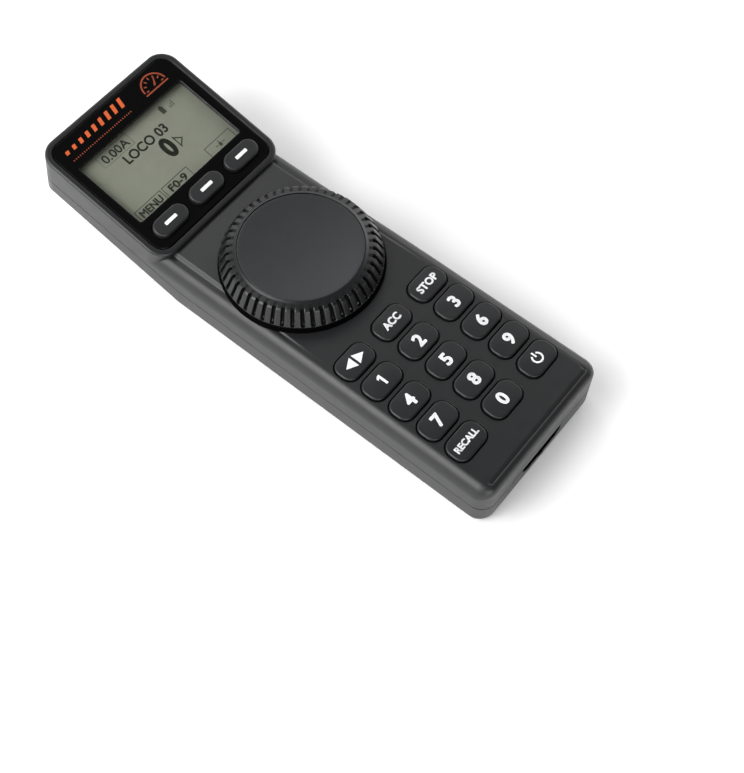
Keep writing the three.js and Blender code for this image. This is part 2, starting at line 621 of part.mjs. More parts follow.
function mainBoard() {
  const low = BOTTOM_Y + 2 * WALL;
  const high = DIAL_TO_HEAD - 2 * WALL;
  const width = CASE_WIDTH - 4 * WALL;
  const outline = roundedRectangle(width, high - low, BOARD_CORNER_RADIUS);
  const board = moved(extruded(outline, BOARD_THICKNESS), 0, (low + high) / 2, MAIN_BOARD_BOTTOM_Z);
  const bosses = GRIP_BOSSES.map(({ x, y }) => moved(
    post(BOSS_RADIUS + FIT, 0, BIG, SMALL_ROUND_SIDES), x, y, 0));
  const half = ENCODER_SIDE / 2 + FIT;
  return board.subtract(union([...bosses, block([-half, -half, 0], [half, half, BIG])]));
}

// The flat cable between the two boards, bent in the y-z plane.
function ribbonCable() {
  const displayEnd = headPoint(HEAD_BOARD_LOW + RIBBON_LAP, DISPLAY_BOARD_DEPTH + BOARD_THICKNESS + FIT);
  const mainEnd = [DIAL_TO_HEAD - 2 * WALL - 1.5 * RIBBON_LAP, MAIN_BOARD_BOTTOM_Z - FIT];
  const lowest = mainEnd[1] - RIBBON_SAG;
  const curve = new THREE.SplineCurve([
    mainEnd,
    [mainEnd[0] + RIBBON_LAP, mainEnd[1] - RIBBON_SAG / 4],
    [displayEnd[0] - 2 * RIBBON_LAP, lowest],
    [displayEnd[0] - RIBBON_LAP / 2, lowest + RIBBON_SAG / 2],
    displayEnd,
  ].map(([y, z]) => new THREE.Vector2(y, z)));
  const edge = (sideSign) => Array.from({ length: RIBBON_STEPS + 1 }, (_, index) => {
    const point = curve.getPoint(index / RIBBON_STEPS);
    const tangent = curve.getTangent(index / RIBBON_STEPS);
    const offset = sideSign * RIBBON_THICKNESS / 2;
    return [point.x + tangent.y * offset, point.y - tangent.x * offset];
  });
  return extrudedAcross(polygon([...edge(1), ...edge(-1).reverse()]), RIBBON_WIDTH);
}

// ---------------------------------------------------------------- dial and encoder

const DIAL_BASE_Z = PANEL_Z + FIT;
const DIAL_TOP_Z = PANEL_Z + DIAL_HEIGHT;
const DIAL_CONE_Z = DIAL_BASE_Z + DIAL_SKIRT_HEIGHT;
const CAP_SEAT_Z = DIAL_TOP_Z - CAP_RECESS - CAP_THICKNESS;
const DIAL_ROOF_Z = CAP_SEAT_Z - DIAL_WALL;
const HUB_LOW_Z = PANEL_UNDERSIDE_Z + BUSH_HEIGHT + FIT;
const SHAFT_TOP_Z = DIAL_ROOF_Z + DIAL_WALL / 2;

function turned(profile, sides) {
  const points = profile.map(([radius, z]) => new THREE.Vector2(radius, z));
  return solidOf(new THREE.LatheGeometry(points, sides).rotateX(Math.PI / 2));
}

// Narrow bars laid down the cone, one for each groove between two ribs.
function dialGrooves() {
  const run = DIAL_RADIUS - DIAL_TOP_RADIUS;
  const rise = DIAL_TOP_Z - DIAL_CONE_Z;
  const lean = Math.atan2(run, rise);
  const length = Math.hypot(run, rise) + DIAL_SKIRT_HEIGHT * 2;
  const middleZ = (DIAL_CONE_Z + DIAL_TOP_Z - DIAL_SKIRT_HEIGHT) / 2;
  const bars = Array.from({ length: DIAL_GROOVES }, (_, index) => {
    const bar = new THREE.BoxGeometry(DIAL_GROOVE_DEPTH * 2, DIAL_GROOVE_WIDTH, length);
    bar.rotateY(-lean);
    bar.translate((DIAL_RADIUS + DIAL_TOP_RADIUS) / 2, 0, middleZ);
    bar.rotateZ((index / DIAL_GROOVES) * 2 * Math.PI);
    return solidOf(bar);
  });
  return union(bars).intersect(post(BIG, DIAL_BASE_Z + DIAL_SKIRT_HEIGHT / 2, DIAL_TOP_Z + WALL));
}

// A hollow dome-shaped knob with a hub for the encoder's shaft.
function speedDial() {
  const body = turned([
    [0, DIAL_BASE_Z], [DIAL_RADIUS, DIAL_BASE_Z], [DIAL_RADIUS, DIAL_CONE_Z],
    [DIAL_TOP_RADIUS + DIAL_TOP_EDGE / 2, DIAL_TOP_Z - DIAL_TOP_EDGE],
    [DIAL_TOP_RADIUS - DIAL_TOP_EDGE / 2, DIAL_TOP_Z], [0, DIAL_TOP_Z],
  ], DIAL_GROOVES);
  const hollow = turned([
    [0, DIAL_BASE_Z - WALL], [DIAL_RADIUS - DIAL_WALL, DIAL_BASE_Z - WALL],
    [DIAL_RADIUS - DIAL_WALL, DIAL_CONE_Z], [DIAL_TOP_RADIUS - DIAL_WALL, DIAL_ROOF_Z], [0, DIAL_ROOF_Z],
  ], DIAL_GROOVES / 2);
  const hub = post(HUB_RADIUS, HUB_LOW_Z, DIAL_ROOF_Z + DIAL_WALL / 2);
  const bore = post(SHAFT_RADIUS + SHAFT_PRESS_GAP, HUB_LOW_Z - WALL, SHAFT_TOP_Z + SHAFT_PRESS_GAP);
  const capSeat = post(CAP_RADIUS + SHAFT_PRESS_GAP, CAP_SEAT_Z, BIG, DIAL_GROOVES);
  return body.subtract(hollow).add(hub).subtract(union([bore, capSeat, dialGrooves()]));
}

function dialCap() {
  return turned([
    [0, CAP_SEAT_Z + SHAFT_PRESS_GAP], [CAP_RADIUS, CAP_SEAT_Z + SHAFT_PRESS_GAP],
    [CAP_RADIUS, DIAL_TOP_Z - CAP_RECESS - CAP_EDGE], [CAP_RADIUS - CAP_EDGE, DIAL_TOP_Z - CAP_RECESS],
    [0, DIAL_TOP_Z - CAP_RECESS],
  ], DIAL_GROOVES);
}

const ENCODER_TOP_Z = PANEL_UNDERSIDE_Z - FIT;
const SHAFT_LOW_Z = ENCODER_TOP_Z - ENCODER_HEIGHT / 2;

function encoderShaft() {
  return post(SHAFT_RADIUS, SHAFT_LOW_Z, SHAFT_TOP_Z);
}

function encoderBody() {
  const half = ENCODER_SIDE / 2;
  const can = block([-half, -half, ENCODER_TOP_Z - ENCODER_HEIGHT], [half, half, ENCODER_TOP_Z]);
  const bush = post(BUSH_RADIUS, ENCODER_TOP_Z - WALL, PANEL_UNDERSIDE_Z + BUSH_HEIGHT);
  return can.add(bush).subtract(post(SHAFT_RADIUS + FIT, SHAFT_LOW_Z - FIT, BIG));
}

function encoderNut() {
  const hexRadius = NUT_ACROSS_FLATS / 2 / Math.cos(Math.PI / 6);
  const low = PANEL_Z + FIT;
  return post(hexRadius, low, low + NUT_HEIGHT, 6).subtract(post(BUSH_RADIUS + FIT, 0, BIG));
}

// ---------------------------------------------------------------- batteries and fasteners

// A cell standing on its flat end at z = 0, with its nub up.
function cellSolid() {
  const shoulder = CELL_LENGTH - CELL_NUB_LENGTH;
  return turned([
    [0, 0], [CELL_RADIUS - CELL_EDGE, 0], [CELL_RADIUS, CELL_EDGE], [CELL_RADIUS, shoulder - CELL_EDGE],
    [CELL_RADIUS - CELL_EDGE, shoulder], [CELL_NUB_RADIUS, shoulder],
    [CELL_NUB_RADIUS, CELL_LENGTH], [0, CELL_LENGTH],
  ], ROUND_SIDES);
}

function cellLying(side) {
  const towardsHead = side < 0;
  const turn = towardsHead ? -90 : 90;
  const startY = towardsHead ? CELLS_LOW_Y : CELLS_HIGH_Y;
  return cellSolid().rotate([turn, 0, 0]).translate([side * CELL_SPACING / 2, startY, CELL_AXIS_Z]);
}

class ConeHelix extends THREE.Curve {
  getPoint(t, target = new THREE.Vector3()) {
    const radius = THREE.MathUtils.lerp(SPRING_RADIUS, SPRING_TIP_RADIUS, t);
    const angle = t * SPRING_TURNS * 2 * Math.PI;
    const height = t * (SPRING_LENGTH - SPRING_WIRE_RADIUS * 2);
    return target.set(radius * Math.cos(angle), radius * Math.sin(angle), height);
  }
}

// A contact spring standing on z = 0.
function contactSpring() {
  const wire = new THREE.Shape();
  wire.absarc(0, 0, SPRING_WIRE_RADIUS, 0, Math.PI * 2);
  return solidOf(new THREE.ExtrudeGeometry(wire, {
    ...COARSE_ARCS, steps: SPRING_STEPS, bevelEnabled: false, extrudePath: new ConeHelix(),
  }));
}

function contactPlate(width, x, y) {
  return block([x - width / 2, y, CELL_AXIS_Z - CONTACT_HEIGHT / 2],
    [x + width / 2, y + CONTACT_THICKNESS, CELL_AXIS_Z + CONTACT_HEIGHT / 2]);
}

function springAt(x, y, towardsHead) {
  return contactSpring().rotate([towardsHead ? -90 : 90, 0, 0]).translate([x, y, CELL_AXIS_Z]);
}

// A raised round pad for a cell's nub, reaching as far as a spring does.
function padAt(x, y, towardsHead) {
  return post(CELL_NUB_RADIUS, -CONTACT_THICKNESS / 2, SPRING_LENGTH, SMALL_ROUND_SIDES)
    .rotate([towardsHead ? -90 : 90, 0, 0])
    .translate([x, y, CELL_AXIS_Z]);
}

function positiveTerminal() {
  const x = -CELL_SPACING / 2;
  return contactPlate(CONTACT_WIDTH, x, TERMINAL_Y).add(padAt(x, TERMINAL_Y, false));
}

function negativeTerminal() {
  const x = CELL_SPACING / 2;
  return contactPlate(CONTACT_WIDTH, x, TERMINAL_Y)
    .add(springAt(x, TERMINAL_Y + SPRING_WIRE_RADIUS / 2, false));
}

// The plate at the bottom end that joins the two cells: a spring for one, a raised pad for the other.
function linkPlate() {
  const face = LINK_PLATE_Y + CONTACT_THICKNESS;
  return union([
    contactPlate(CELL_SPACING + CONTACT_WIDTH, 0, LINK_PLATE_Y),
    padAt(CELL_SPACING / 2, face, true),
    springAt(-CELL_SPACING / 2, face - SPRING_WIRE_RADIUS / 2, true),
  ]);
}

// A cross-head screw, its head's outer face at z = 0 and its shank pointing up.
function screwSolid() {
  const crossWidth = SCREW_RADIUS / 2;
  const cross = union([
    block([-SCREW_RADIUS, -crossWidth / 2, -WALL], [SCREW_RADIUS, crossWidth / 2, SCREW_HEAD_HEIGHT / 2]),
    block([-crossWidth / 2, -SCREW_RADIUS, -WALL], [crossWidth / 2, SCREW_RADIUS, SCREW_HEAD_HEIGHT / 2]),
  ]);
  return post(SCREW_HEAD_RADIUS, 0, SCREW_HEAD_HEIGHT, SMALL_ROUND_SIDES)
    .add(post(SCREW_RADIUS, SCREW_HEAD_HEIGHT / 2, SCREW_LENGTH, SMALL_ROUND_SIDES))
    .subtract(cross);
}

// ---------------------------------------------------------------- materials and assembly

function plastic(color, roughness) {
  return () => new THREE.MeshStandardMaterial({ color, roughness, metalness: 0 });
}

function metal(color, roughness) {
  return () => new THREE.MeshStandardMaterial({ color, roughness, metalness: 1 });
}

const caseBlack = plastic(0x2b2c2e, 0.5);
const keyBlack = plastic(0x1d1e20, 0.55);
const softKeyGrey = plastic(0x2f3133, 0.5);
const dialBlack = plastic(0x232426, 0.42);
const capBlack = plastic(0x303236, 0.34);
const faceBlack = plastic(0x08090a, 0.12);
const clear = () => new THREE.MeshStandardMaterial({
  color: 0xdfe4e0, roughness: 0.08, metalness: 0, transparent: true, opacity: 0.3,
});
const lcdGreen = plastic(0x85877a, 0.35);
const holderBlack = plastic(0x17181a, 0.6);
const silicone = plastic(0x6d7175, 0.7);
const board = plastic(0x1f5a38, 0.5);
const cable = plastic(0xd8d2c2, 0.5);
const cellGreen = plastic(0x2f7d3c, 0.35);
const steel = metal(0xb9bcc0, 0.35);
const brass = metal(0xc9a45c, 0.35);

const handset = new THREE.Group();
handset.name = 'hand_controller';
const head = new THREE.Group();
head.applyMatrix4(HEAD_FRAME);
handset.add(head);

function addPart(name, solid, material, parent = handset) {
  const mesh = new THREE.Mesh(geometryOf(solid), material());
  mesh.name = name;
  parent.add(mesh);
  return mesh;
}

addPart('front_shell', frontShell(), caseBlack);
addPart('rear_shell', rearShell(), caseBlack);
addPart('battery_cover', batteryCover(), caseBlack);

addPart('face_plate', facePlate(), faceBlack, head);
addPart('display_window', displayWindow(), clear, head);
addPart('lcd_panel', lcdPanel(), lcdGreen, head);
addPart('lcd_holder', lcdHolder(), holderBlack, head);
addPart('display_board', displayBoard(), board, head);
addPart('radio_module', radioModule(), steel, head);
addPart('soft_key_mat', softKeyMat(), silicone, head);
for (const { name, x } of SOFT_KEYS) {
  addPart(name, softKey(x), softKeyGrey, head);
}

for (const { name, x, y } of KEYS) {
  addPart(name, keySolid(), keyBlack).position.set(x, y, 0);
}
addPart('keypad_mat', keypadMat(), silicone);
addPart('main_board', mainBoard(), board);
addPart('ribbon_cable', ribbonCable(), cable);

addPart('speed_dial', speedDial(), dialBlack);
addPart('dial_cap', dialCap(), capBlack);
addPart('encoder_shaft', encoderShaft(), steel);
addPart('encoder_body', encoderBody(), steel);
addPart('encoder_nut', encoderNut(), brass);

addPart('battery_cell_left', cellLying(-1), cellGreen);
addPart('battery_cell_right', cellLying(1), cellGreen);
addPart('battery_terminal_positive', positiveTerminal(), steel);
addPart('battery_terminal_negative', negativeTerminal(), steel);
addPart('battery_link_plate', linkPlate(), steel);

GRIP_BOSSES.forEach(({ x, y }, index) => {
  addPart(`case_screw_${index + 1}`, screwSolid(), steel).position.set(x, y, SCREW_SINK);
});
HEAD_BOSSES.forEach(({ x, y }, index) => {
  const name = `case_screw_${GRIP_BOSSES.length + index + 1}`;
  addPart(name, screwSolid(), steel, head).position.set(x, y, -headBackDepth(y) + SCREW_SINK);
});

// Centre the controller on y, so that the origin is the middle of what it rests on.
const extent = new THREE.Box3().setFromObject(handset);
handset.position.y = -(extent.min.y + extent.max.y) / 2;

export default handset;
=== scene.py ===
import math

import bmesh
import bpy
from mathutils import Matrix, Vector


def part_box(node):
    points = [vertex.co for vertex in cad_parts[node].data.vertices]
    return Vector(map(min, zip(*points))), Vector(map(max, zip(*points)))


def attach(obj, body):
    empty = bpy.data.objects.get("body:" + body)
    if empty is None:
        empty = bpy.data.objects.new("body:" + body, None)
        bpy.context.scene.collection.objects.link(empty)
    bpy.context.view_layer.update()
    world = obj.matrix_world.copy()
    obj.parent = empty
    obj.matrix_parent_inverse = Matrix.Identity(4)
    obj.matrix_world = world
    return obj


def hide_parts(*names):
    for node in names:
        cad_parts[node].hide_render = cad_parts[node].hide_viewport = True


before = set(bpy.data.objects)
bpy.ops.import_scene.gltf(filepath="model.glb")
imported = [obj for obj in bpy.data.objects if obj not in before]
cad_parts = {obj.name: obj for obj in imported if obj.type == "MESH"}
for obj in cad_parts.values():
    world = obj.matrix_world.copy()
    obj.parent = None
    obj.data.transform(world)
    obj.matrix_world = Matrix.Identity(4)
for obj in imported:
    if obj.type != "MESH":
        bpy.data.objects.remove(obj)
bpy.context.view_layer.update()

MM = 0.001
BIG = 400.0

# ------------------------------------------------------------------ sizes, in millimetres

TILT = math.radians(13.4)
BACK_TILT = math.radians(15)
END_LEAN = TILT - math.radians(5)
WALL = 2.0
SEAM_DEPTH = 12.5
SEAM_GAP = 0.42
HEAD_LENGTH = 60.7
HEAD_STEP = 1.4
HEAD_CORNER = 7.5
HEAD_EDGE = 1.0
HEAD_FOOT_RADIUS = 4.2
RIM = 2.4
BACK_RADIUS = 3.5
CORNER = 6.0
STEP_FROM_DIAL = 36.1
KNEE_FROM_DIAL = 33.6
PANEL_TO_DIAL = 0.3


def box_mm(node):
    low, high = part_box(node)
    return Vector(low) / MM, Vector(high) / MM


def middle(node):
    low, high = box_mm(node)
    return (low + high) / 2


front_low, front_high = box_mm("front_shell")
cap_low, cap_high = box_mm("dial_cap")
dial_low = box_mm("speed_dial")[0]
cover_high = box_mm("battery_cover")[1]

HALF = front_high.x
BOTTOM = front_low.y
DIAL = Vector((0, (cap_low.y + cap_high.y) / 2, 0))
PANEL = dial_low.z - PANEL_TO_DIAL
SEAM = PANEL - SEAM_DEPTH
STEP_Y = DIAL.y + STEP_FROM_DIAL
KNEE = DIAL.y + KNEE_FROM_DIAL
FACE = Matrix.Translation((0, STEP_Y, PANEL + HEAD_STEP)) @ Matrix.Rotation(TILT, 4, "X")

# ------------------------------------------------------------------ mesh helpers


def piece(name, vertices, faces):
    mesh = bpy.data.meshes.new(name)
    mesh.from_pydata([tuple(v) for v in vertices], [], faces)
    mesh.update()
    obj = bpy.data.objects.new(name, mesh)
    bpy.context.scene.collection.objects.link(obj)
    return obj


def rounded(width, height, radius, steps=12, centre=(0.0, 0.0)):
    points = []
    for sx, sy, start in ((1, 1, 0), (-1, 1, 90), (-1, -1, 180), (1, -1, 270)):
        for i in range(steps + 1):
            a = math.radians(start + 90 * i / steps)
            points.append((centre[0] + sx * (width / 2 - radius) + radius * math.cos(a),
                           centre[1] + sy * (height / 2 - radius) + radius * math.sin(a)))
    return points


def circle(radius, sides, centre=(0.0, 0.0)):
    return [(centre[0] + radius * math.cos(2 * math.pi * i / sides),
             centre[1] + radius * math.sin(2 * math.pi * i / sides)) for i in range(sides)]


def loft(name, rings, closed=False):
    n = len(rings[0])
    faces = []
    count = len(rings)
    for i in range(count if closed else count - 1):
        k = (i + 1) % count
        for j in range(n):
            m = (j + 1) % n
            faces.append((i * n + j, i * n + m, k * n + m, k * n + j))
    if not closed:
        faces.append(tuple(reversed(range(n))))
        faces.append(tuple((count - 1) * n + j for j in range(n)))
    return piece(name, [p for ring in rings for p in ring], faces)


def prism(name, outline, low, high):
    return loft(name, [[(x, y, low) for x, y in outline], [(x, y, high) for x, y in outline]])


def across(name, outline, half):
    """A (y, z) outline thickened along x."""
    return loft(name, [[(-half, y, z) for y, z in outline], [(half, y, z) for y, z in outline]])


def slab(name, low, high):
    return prism(name, [(low[0], low[1]), (high[0], low[1]), (high[0], high[1]), (low[0], high[1])],
                 low[2], high[2])


def stack(name, outline_at, levels):
    """levels: (inset, height) pairs, from low to high."""
    return loft(name, [[(x, y, z) for x, y in outline_at(inset)] for inset, z in levels])


def placed(obj, matrix):
    obj.data.transform(matrix)
    return obj


def shifted(obj, x, y):
    return placed(obj, Matrix.Translation((x, y, 0)))


def drop(*objs):
    for obj in objs:
        mesh = obj.data
        bpy.data.objects.remove(obj)
        if mesh.users == 0:
            bpy.data.meshes.remove(mesh)


def copy_of(obj, name):
    twin = bpy.data.objects.new(name, obj.data.copy())
    bpy.context.scene.collection.objects.link(twin)
    return twin


def merged(name, objs):
    vertices, faces = [], []
    for obj in objs:
        base = len(vertices)
        vertices += [v.co.copy() for v in obj.data.vertices]
        faces += [tuple(base + i for i in p.vertices) for p in obj.data.polygons]
    drop(*objs)
    return piece(name, vertices, faces)


def combine(target, tool, operation, keep=False):
    modifier = target.modifiers.new("combine", "BOOLEAN")
    modifier.operation = operation
    modifier.solver = "MANIFOLD"
    modifier.object = tool
    graph = bpy.context.evaluated_depsgraph_get()
    mesh = bpy.data.meshes.new_from_object(target.evaluated_get(graph))
    target.modifiers.clear()
    old = target.data
    target.data = mesh
    bpy.data.meshes.remove(old)
    if len(mesh.vertices) == 0:
        raise ValueError(f"{operation} left nothing of {target.name}")
    if not keep:
        drop(tool)
    return target


def add(target, tool):
    return combine(target, tool, "UNION")


def cut(target, tool, keep=False):
    return combine(target, tool, "DIFFERENCE", keep)


def common(target, tool):
    return combine(target, tool, "INTERSECT")


def smooth(obj, angle=32):
    obj.data.shade_smooth()
    obj.data.set_sharp_from_angle(angle=math.radians(angle))
    modifier = obj.modifiers.new("normals", "WEIGHTED_NORMAL")
    modifier.keep_sharp = True
    modifier.weight = 100
    return obj


def finished(obj, body, material, replaces=(), angle=32):
    obj.data.transform(Matrix.Scale(MM, 4))
    obj.data.materials.clear()
    obj.data.materials.append(material)
    if angle:
        smooth(obj, angle)
    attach(obj, body)
    if replaces:
        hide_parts(*replaces)
    return obj


def refined(obj, limit):
    """Splits a flat mesh until no edge is longer than the limit, so that it can follow a curved face."""
    mesh = bmesh.new()
    mesh.from_mesh(obj.data)
    bmesh.ops.triangulate(mesh, faces=mesh.faces[:])
    for _ in range(6):
        long_edges = [e for e in mesh.edges if e.calc_length() > limit and
                      abs(e.verts[0].co.z - e.verts[1].co.z) < 0.01]
        if not long_edges:
            break
        bmesh.ops.subdivide_edges(mesh, edges=long_edges, cuts=1)
        bmesh.ops.triangulate(mesh, faces=[f for f in mesh.faces if len(f.verts) > 3])
    mesh.to_mesh(obj.data)
    mesh.free()
    return obj


def ease(low, high, value):
    t = min(1.0, max(0.0, (value - low) / (high - low)))
    return t * t * (3 - 2 * t)


# ------------------------------------------------------------------ materials


def new_material(name):
    material = bpy.data.materials.new(name)
    material.use_nodes = True
    tree = material.node_tree
    tree.nodes.clear()
    return material, tree


def node(tree, kind, **values):
    made = tree.nodes.new(kind)
    for key, value in values.items():
        if hasattr(made, key):
            setattr(made, key, value)
        else:
            made.inputs[key.replace("_", " ")].default_value = value
    return made


def ramp(tree, source, stops):
    made = tree.nodes.new("ShaderNodeValToRGB")
    elements = made.color_ramp.elements
    while len(elements) < len(stops):
        elements.new(0.5)
    for element, (position, color) in zip(elements, stops):
        element.position = position
        element.color = (*color, 1)
    tree.links.new(source, made.inputs["Fac"])
    return made.outputs["Color"]


def noise(tree, scale, detail=3.0, roughness=0.55):
    coordinates = tree.nodes.new("ShaderNodeTexCoord")
    made = node(tree, "ShaderNodeTexNoise", Scale=scale, Detail=detail, Roughness=roughness)
    tree.links.new(coordinates.outputs["Object"], made.inputs["Vector"])
    return made.outputs["Fac"]


def spread(value, amount):
    return tuple(max(0.0, c * amount) for c in value)


def moulded(name, color, roughness, grain=3200, depth=0.000012, strength=0.35, smudge=0.02, ior=1.5,
            tint=0.06, bevel=0.0):
    """Moulded plastic: a spark-eroded grain in the bump, slow changes of gloss and shade."""
    material, tree = new_material(name)
    out = tree.nodes.new("ShaderNodeOutputMaterial")
    shader = node(tree, "ShaderNodeBsdfPrincipled", IOR=ior)
    tree.links.new(shader.outputs["BSDF"], out.inputs["Surface"])
    shade = ramp(tree, noise(tree, 120, 5), [(0.3, spread(color, 1 - tint)), (0.7, spread(color, 1 + tint))])
    tree.links.new(shade, shader.inputs["Base Color"])
    gloss = ramp(tree, noise(tree, 210, 5, 0.6),
                 [(0.3, (roughness - smudge,) * 3), (0.7, (roughness + smudge,) * 3)])
    tree.links.new(gloss, shader.inputs["Roughness"])
    bump = node(tree, "ShaderNodeBump", Strength=strength, Distance=depth)
    tree.links.new(noise(tree, grain, 2, 0.6), bump.inputs["Height"])
    if bevel:
        rounding = node(tree, "ShaderNodeBevel", samples=4, Radius=bevel)
        tree.links.new(rounding.outputs["Normal"], bump.inputs["Normal"])
    tree.links.new(bump.outputs["Normal"], shader.inputs["Normal"])
    return material


def polished(name, color, roughness, ior=1.5, metallic=0.0, smudge=0.03, scale=40, bump=0.0):
    material, tree = new_material(name)
    out = tree.nodes.new("ShaderNodeOutputMaterial")
    shader = node(tree, "ShaderNodeBsdfPrincipled", IOR=ior, Metallic=metallic)
    tree.links.new(shader.outputs["BSDF"], out.inputs["Surface"])
    shade = ramp(tree, noise(tree, scale, 4), [(0.3, spread(color, 0.9)), (0.7, spread(color, 1.1))])
    tree.links.new(shade, shader.inputs["Base Color"])
    gloss = ramp(tree, noise(tree, scale * 3, 5),
                 [(0.35, (max(0.02, roughness - smudge),) * 3), (0.7, (roughness + smudge,) * 3)])
    tree.links.new(gloss, shader.inputs["Roughness"])
    if bump:
        made = node(tree, "ShaderNodeBump", Strength=bump, Distance=0.00002)
        tree.links.new(noise(tree, scale * 40, 3), made.inputs["Height"])
        tree.links.new(made.outputs["Normal"], shader.inputs["Normal"])
    return material


def printed(name, color, roughness=0.5):
    return moulded(name, color, roughness, grain=5000, depth=0.000004, strength=0.2, tint=0.05)


def glazing(name):
    """A clear sheet: light goes straight through it and a little is reflected."""
    material, tree = new_material(name)
    out = tree.nodes.new("ShaderNodeOutputMaterial")
    clear = node(tree, "ShaderNodeBsdfTransparent", Color=(0.97, 0.98, 0.97, 1))
    gloss = tree.nodes.new("ShaderNodeBsdfGlossy")
    rough = ramp(tree, noise(tree, 60, 3), [(0.3, (0.05,) * 3), (0.7, (0.11,) * 3)])
    tree.links.new(rough, gloss.inputs["Roughness"])
    mix = node(tree, "ShaderNodeMixShader", Fac=0.05)
    tree.links.new(clear.outputs["BSDF"], mix.inputs[1])
    tree.links.new(gloss.outputs["BSDF"], mix.inputs[2])
    tree.links.new(mix.outputs["Shader"], out.inputs["Surface"])
    return material


CASE = moulded("case_abs", (0.0084, 0.009, 0.0099), 0.4, ior=1.53, bevel=0.00025)
KEY = moulded("key_rubber_abs", (0.0082, 0.0088, 0.0098), 0.4, grain=4200)
SOFT = moulded("soft_key_abs", (0.0125, 0.0132, 0.014), 0.44)
KNOB = moulded("dial_abs", (0.0066, 0.0071, 0.0077), 0.32)
# Darker, rougher plastic for the dial's groove walls and floors: painted shade in the grooves.
GROOVE_PAINTED_SHADE = moulded("dial_groove_painted_shade", (0.0032, 0.0034, 0.0037), 0.55, ior=1.3)
CAP = moulded("dial_cap_abs", (0.0175, 0.0187, 0.0208), 0.33, grain=6000, depth=0.000006)
GLOSS = polished("face_gloss", (0.0012, 0.0012, 0.0013), 0.09, ior=1.42)
# Near-black, rough and dull: painted shade for the moat floor round the dial, the tongue in the seam and the
# skirt under the dial.
PAINTED_SHADE = moulded("painted_shade_dark", (0.0012, 0.0012, 0.0012), 0.75, ior=1.15)
WHITE = printed("legend_white", (0.86, 0.87, 0.88))
ORANGE = printed("print_orange", (0.62, 0.1, 0.018))
ORANGE_DIM = printed("print_orange_dim", (0.26, 0.04, 0.009))
INK = printed("lcd_ink", (0.035, 0.04, 0.026), 0.4)
INK_PALE = printed("lcd_ink_pale", (0.09, 0.094, 0.07), 0.4)
GLASS = glazing("window_clear")
LCD = moulded("lcd_reflector", (0.25, 0.254, 0.205), 0.45, grain=9000, depth=0.000004, tint=0.05)
STEEL = polished("plated_steel", (0.55, 0.56, 0.57), 0.32, metallic=1.0, bump=0.2)
BRASS = polished("brass", (0.6, 0.42, 0.16), 0.3, metallic=1.0, bump=0.2)
BOARD = moulded("solder_mask", (0.02, 0.095, 0.04), 0.35, grain=900, depth=0.00003)
SILICONE = moulded("silicone_rubber", (0.2, 0.21, 0.215), 0.65)
FILM = moulded("cable_film", (0.6, 0.55, 0.45), 0.4)
HOLDER = moulded("holder_abs", (0.01, 0.01, 0.011), 0.55)
SLEEVE = polished("cell_sleeve", (0.05, 0.22, 0.07), 0.22, smudge=0.04)

# ------------------------------------------------------------------ the case

# The rolled shoulder: how far it reaches in from the side and from the end, how far under the panel it
# starts, and how far it climbs beside the dial, at the bottom end and beside the keys.
SIDE_REACH, END_REACH = 4.75, 2.35
SIDE_DROP, END_DROP = 6.2, 3.4
SIDE_CLIMB, END_CLIMB, KEY_SIDE_CLIMB = 5.95, 3.1, 6.14
SHOULDER_DIP = 0.95
VALLEY_START, VALLEY_STOP = -40, 26
DIP_START, DIP_STOP = -32, 34
INTO_HEAD = 6
SIDE_ROWS = 40
# The valley inside the shoulder: inset from the side and from the end, height over the panel beside the
# dial and at the end, share of the dip in height and in width, and height over the panel beside the keys.
VALLEY = ((5.0, 2.5, -0.31, -0.42, 1.0, 0.1, -0.04), (5.2, 2.75, -0.34, -0.5, 1.0, 0.25, -0.025),
          (5.38, 3.05, -0.3, -0.4, 0.92, 0.45, -0.015), (5.55, 3.35, -0.2, -0.2, 0.6, 0.7, -0.008),
          (5.75, 3.75, -0.09, -0.08, 0.25, 0.9, -0.003), (5.95, 4.0, -0.02, -0.02, 0.06, 1.0, 0.0),
          (6.2, 4.3, 0.0, 0.0, 0.0, 1.0, 0.0))


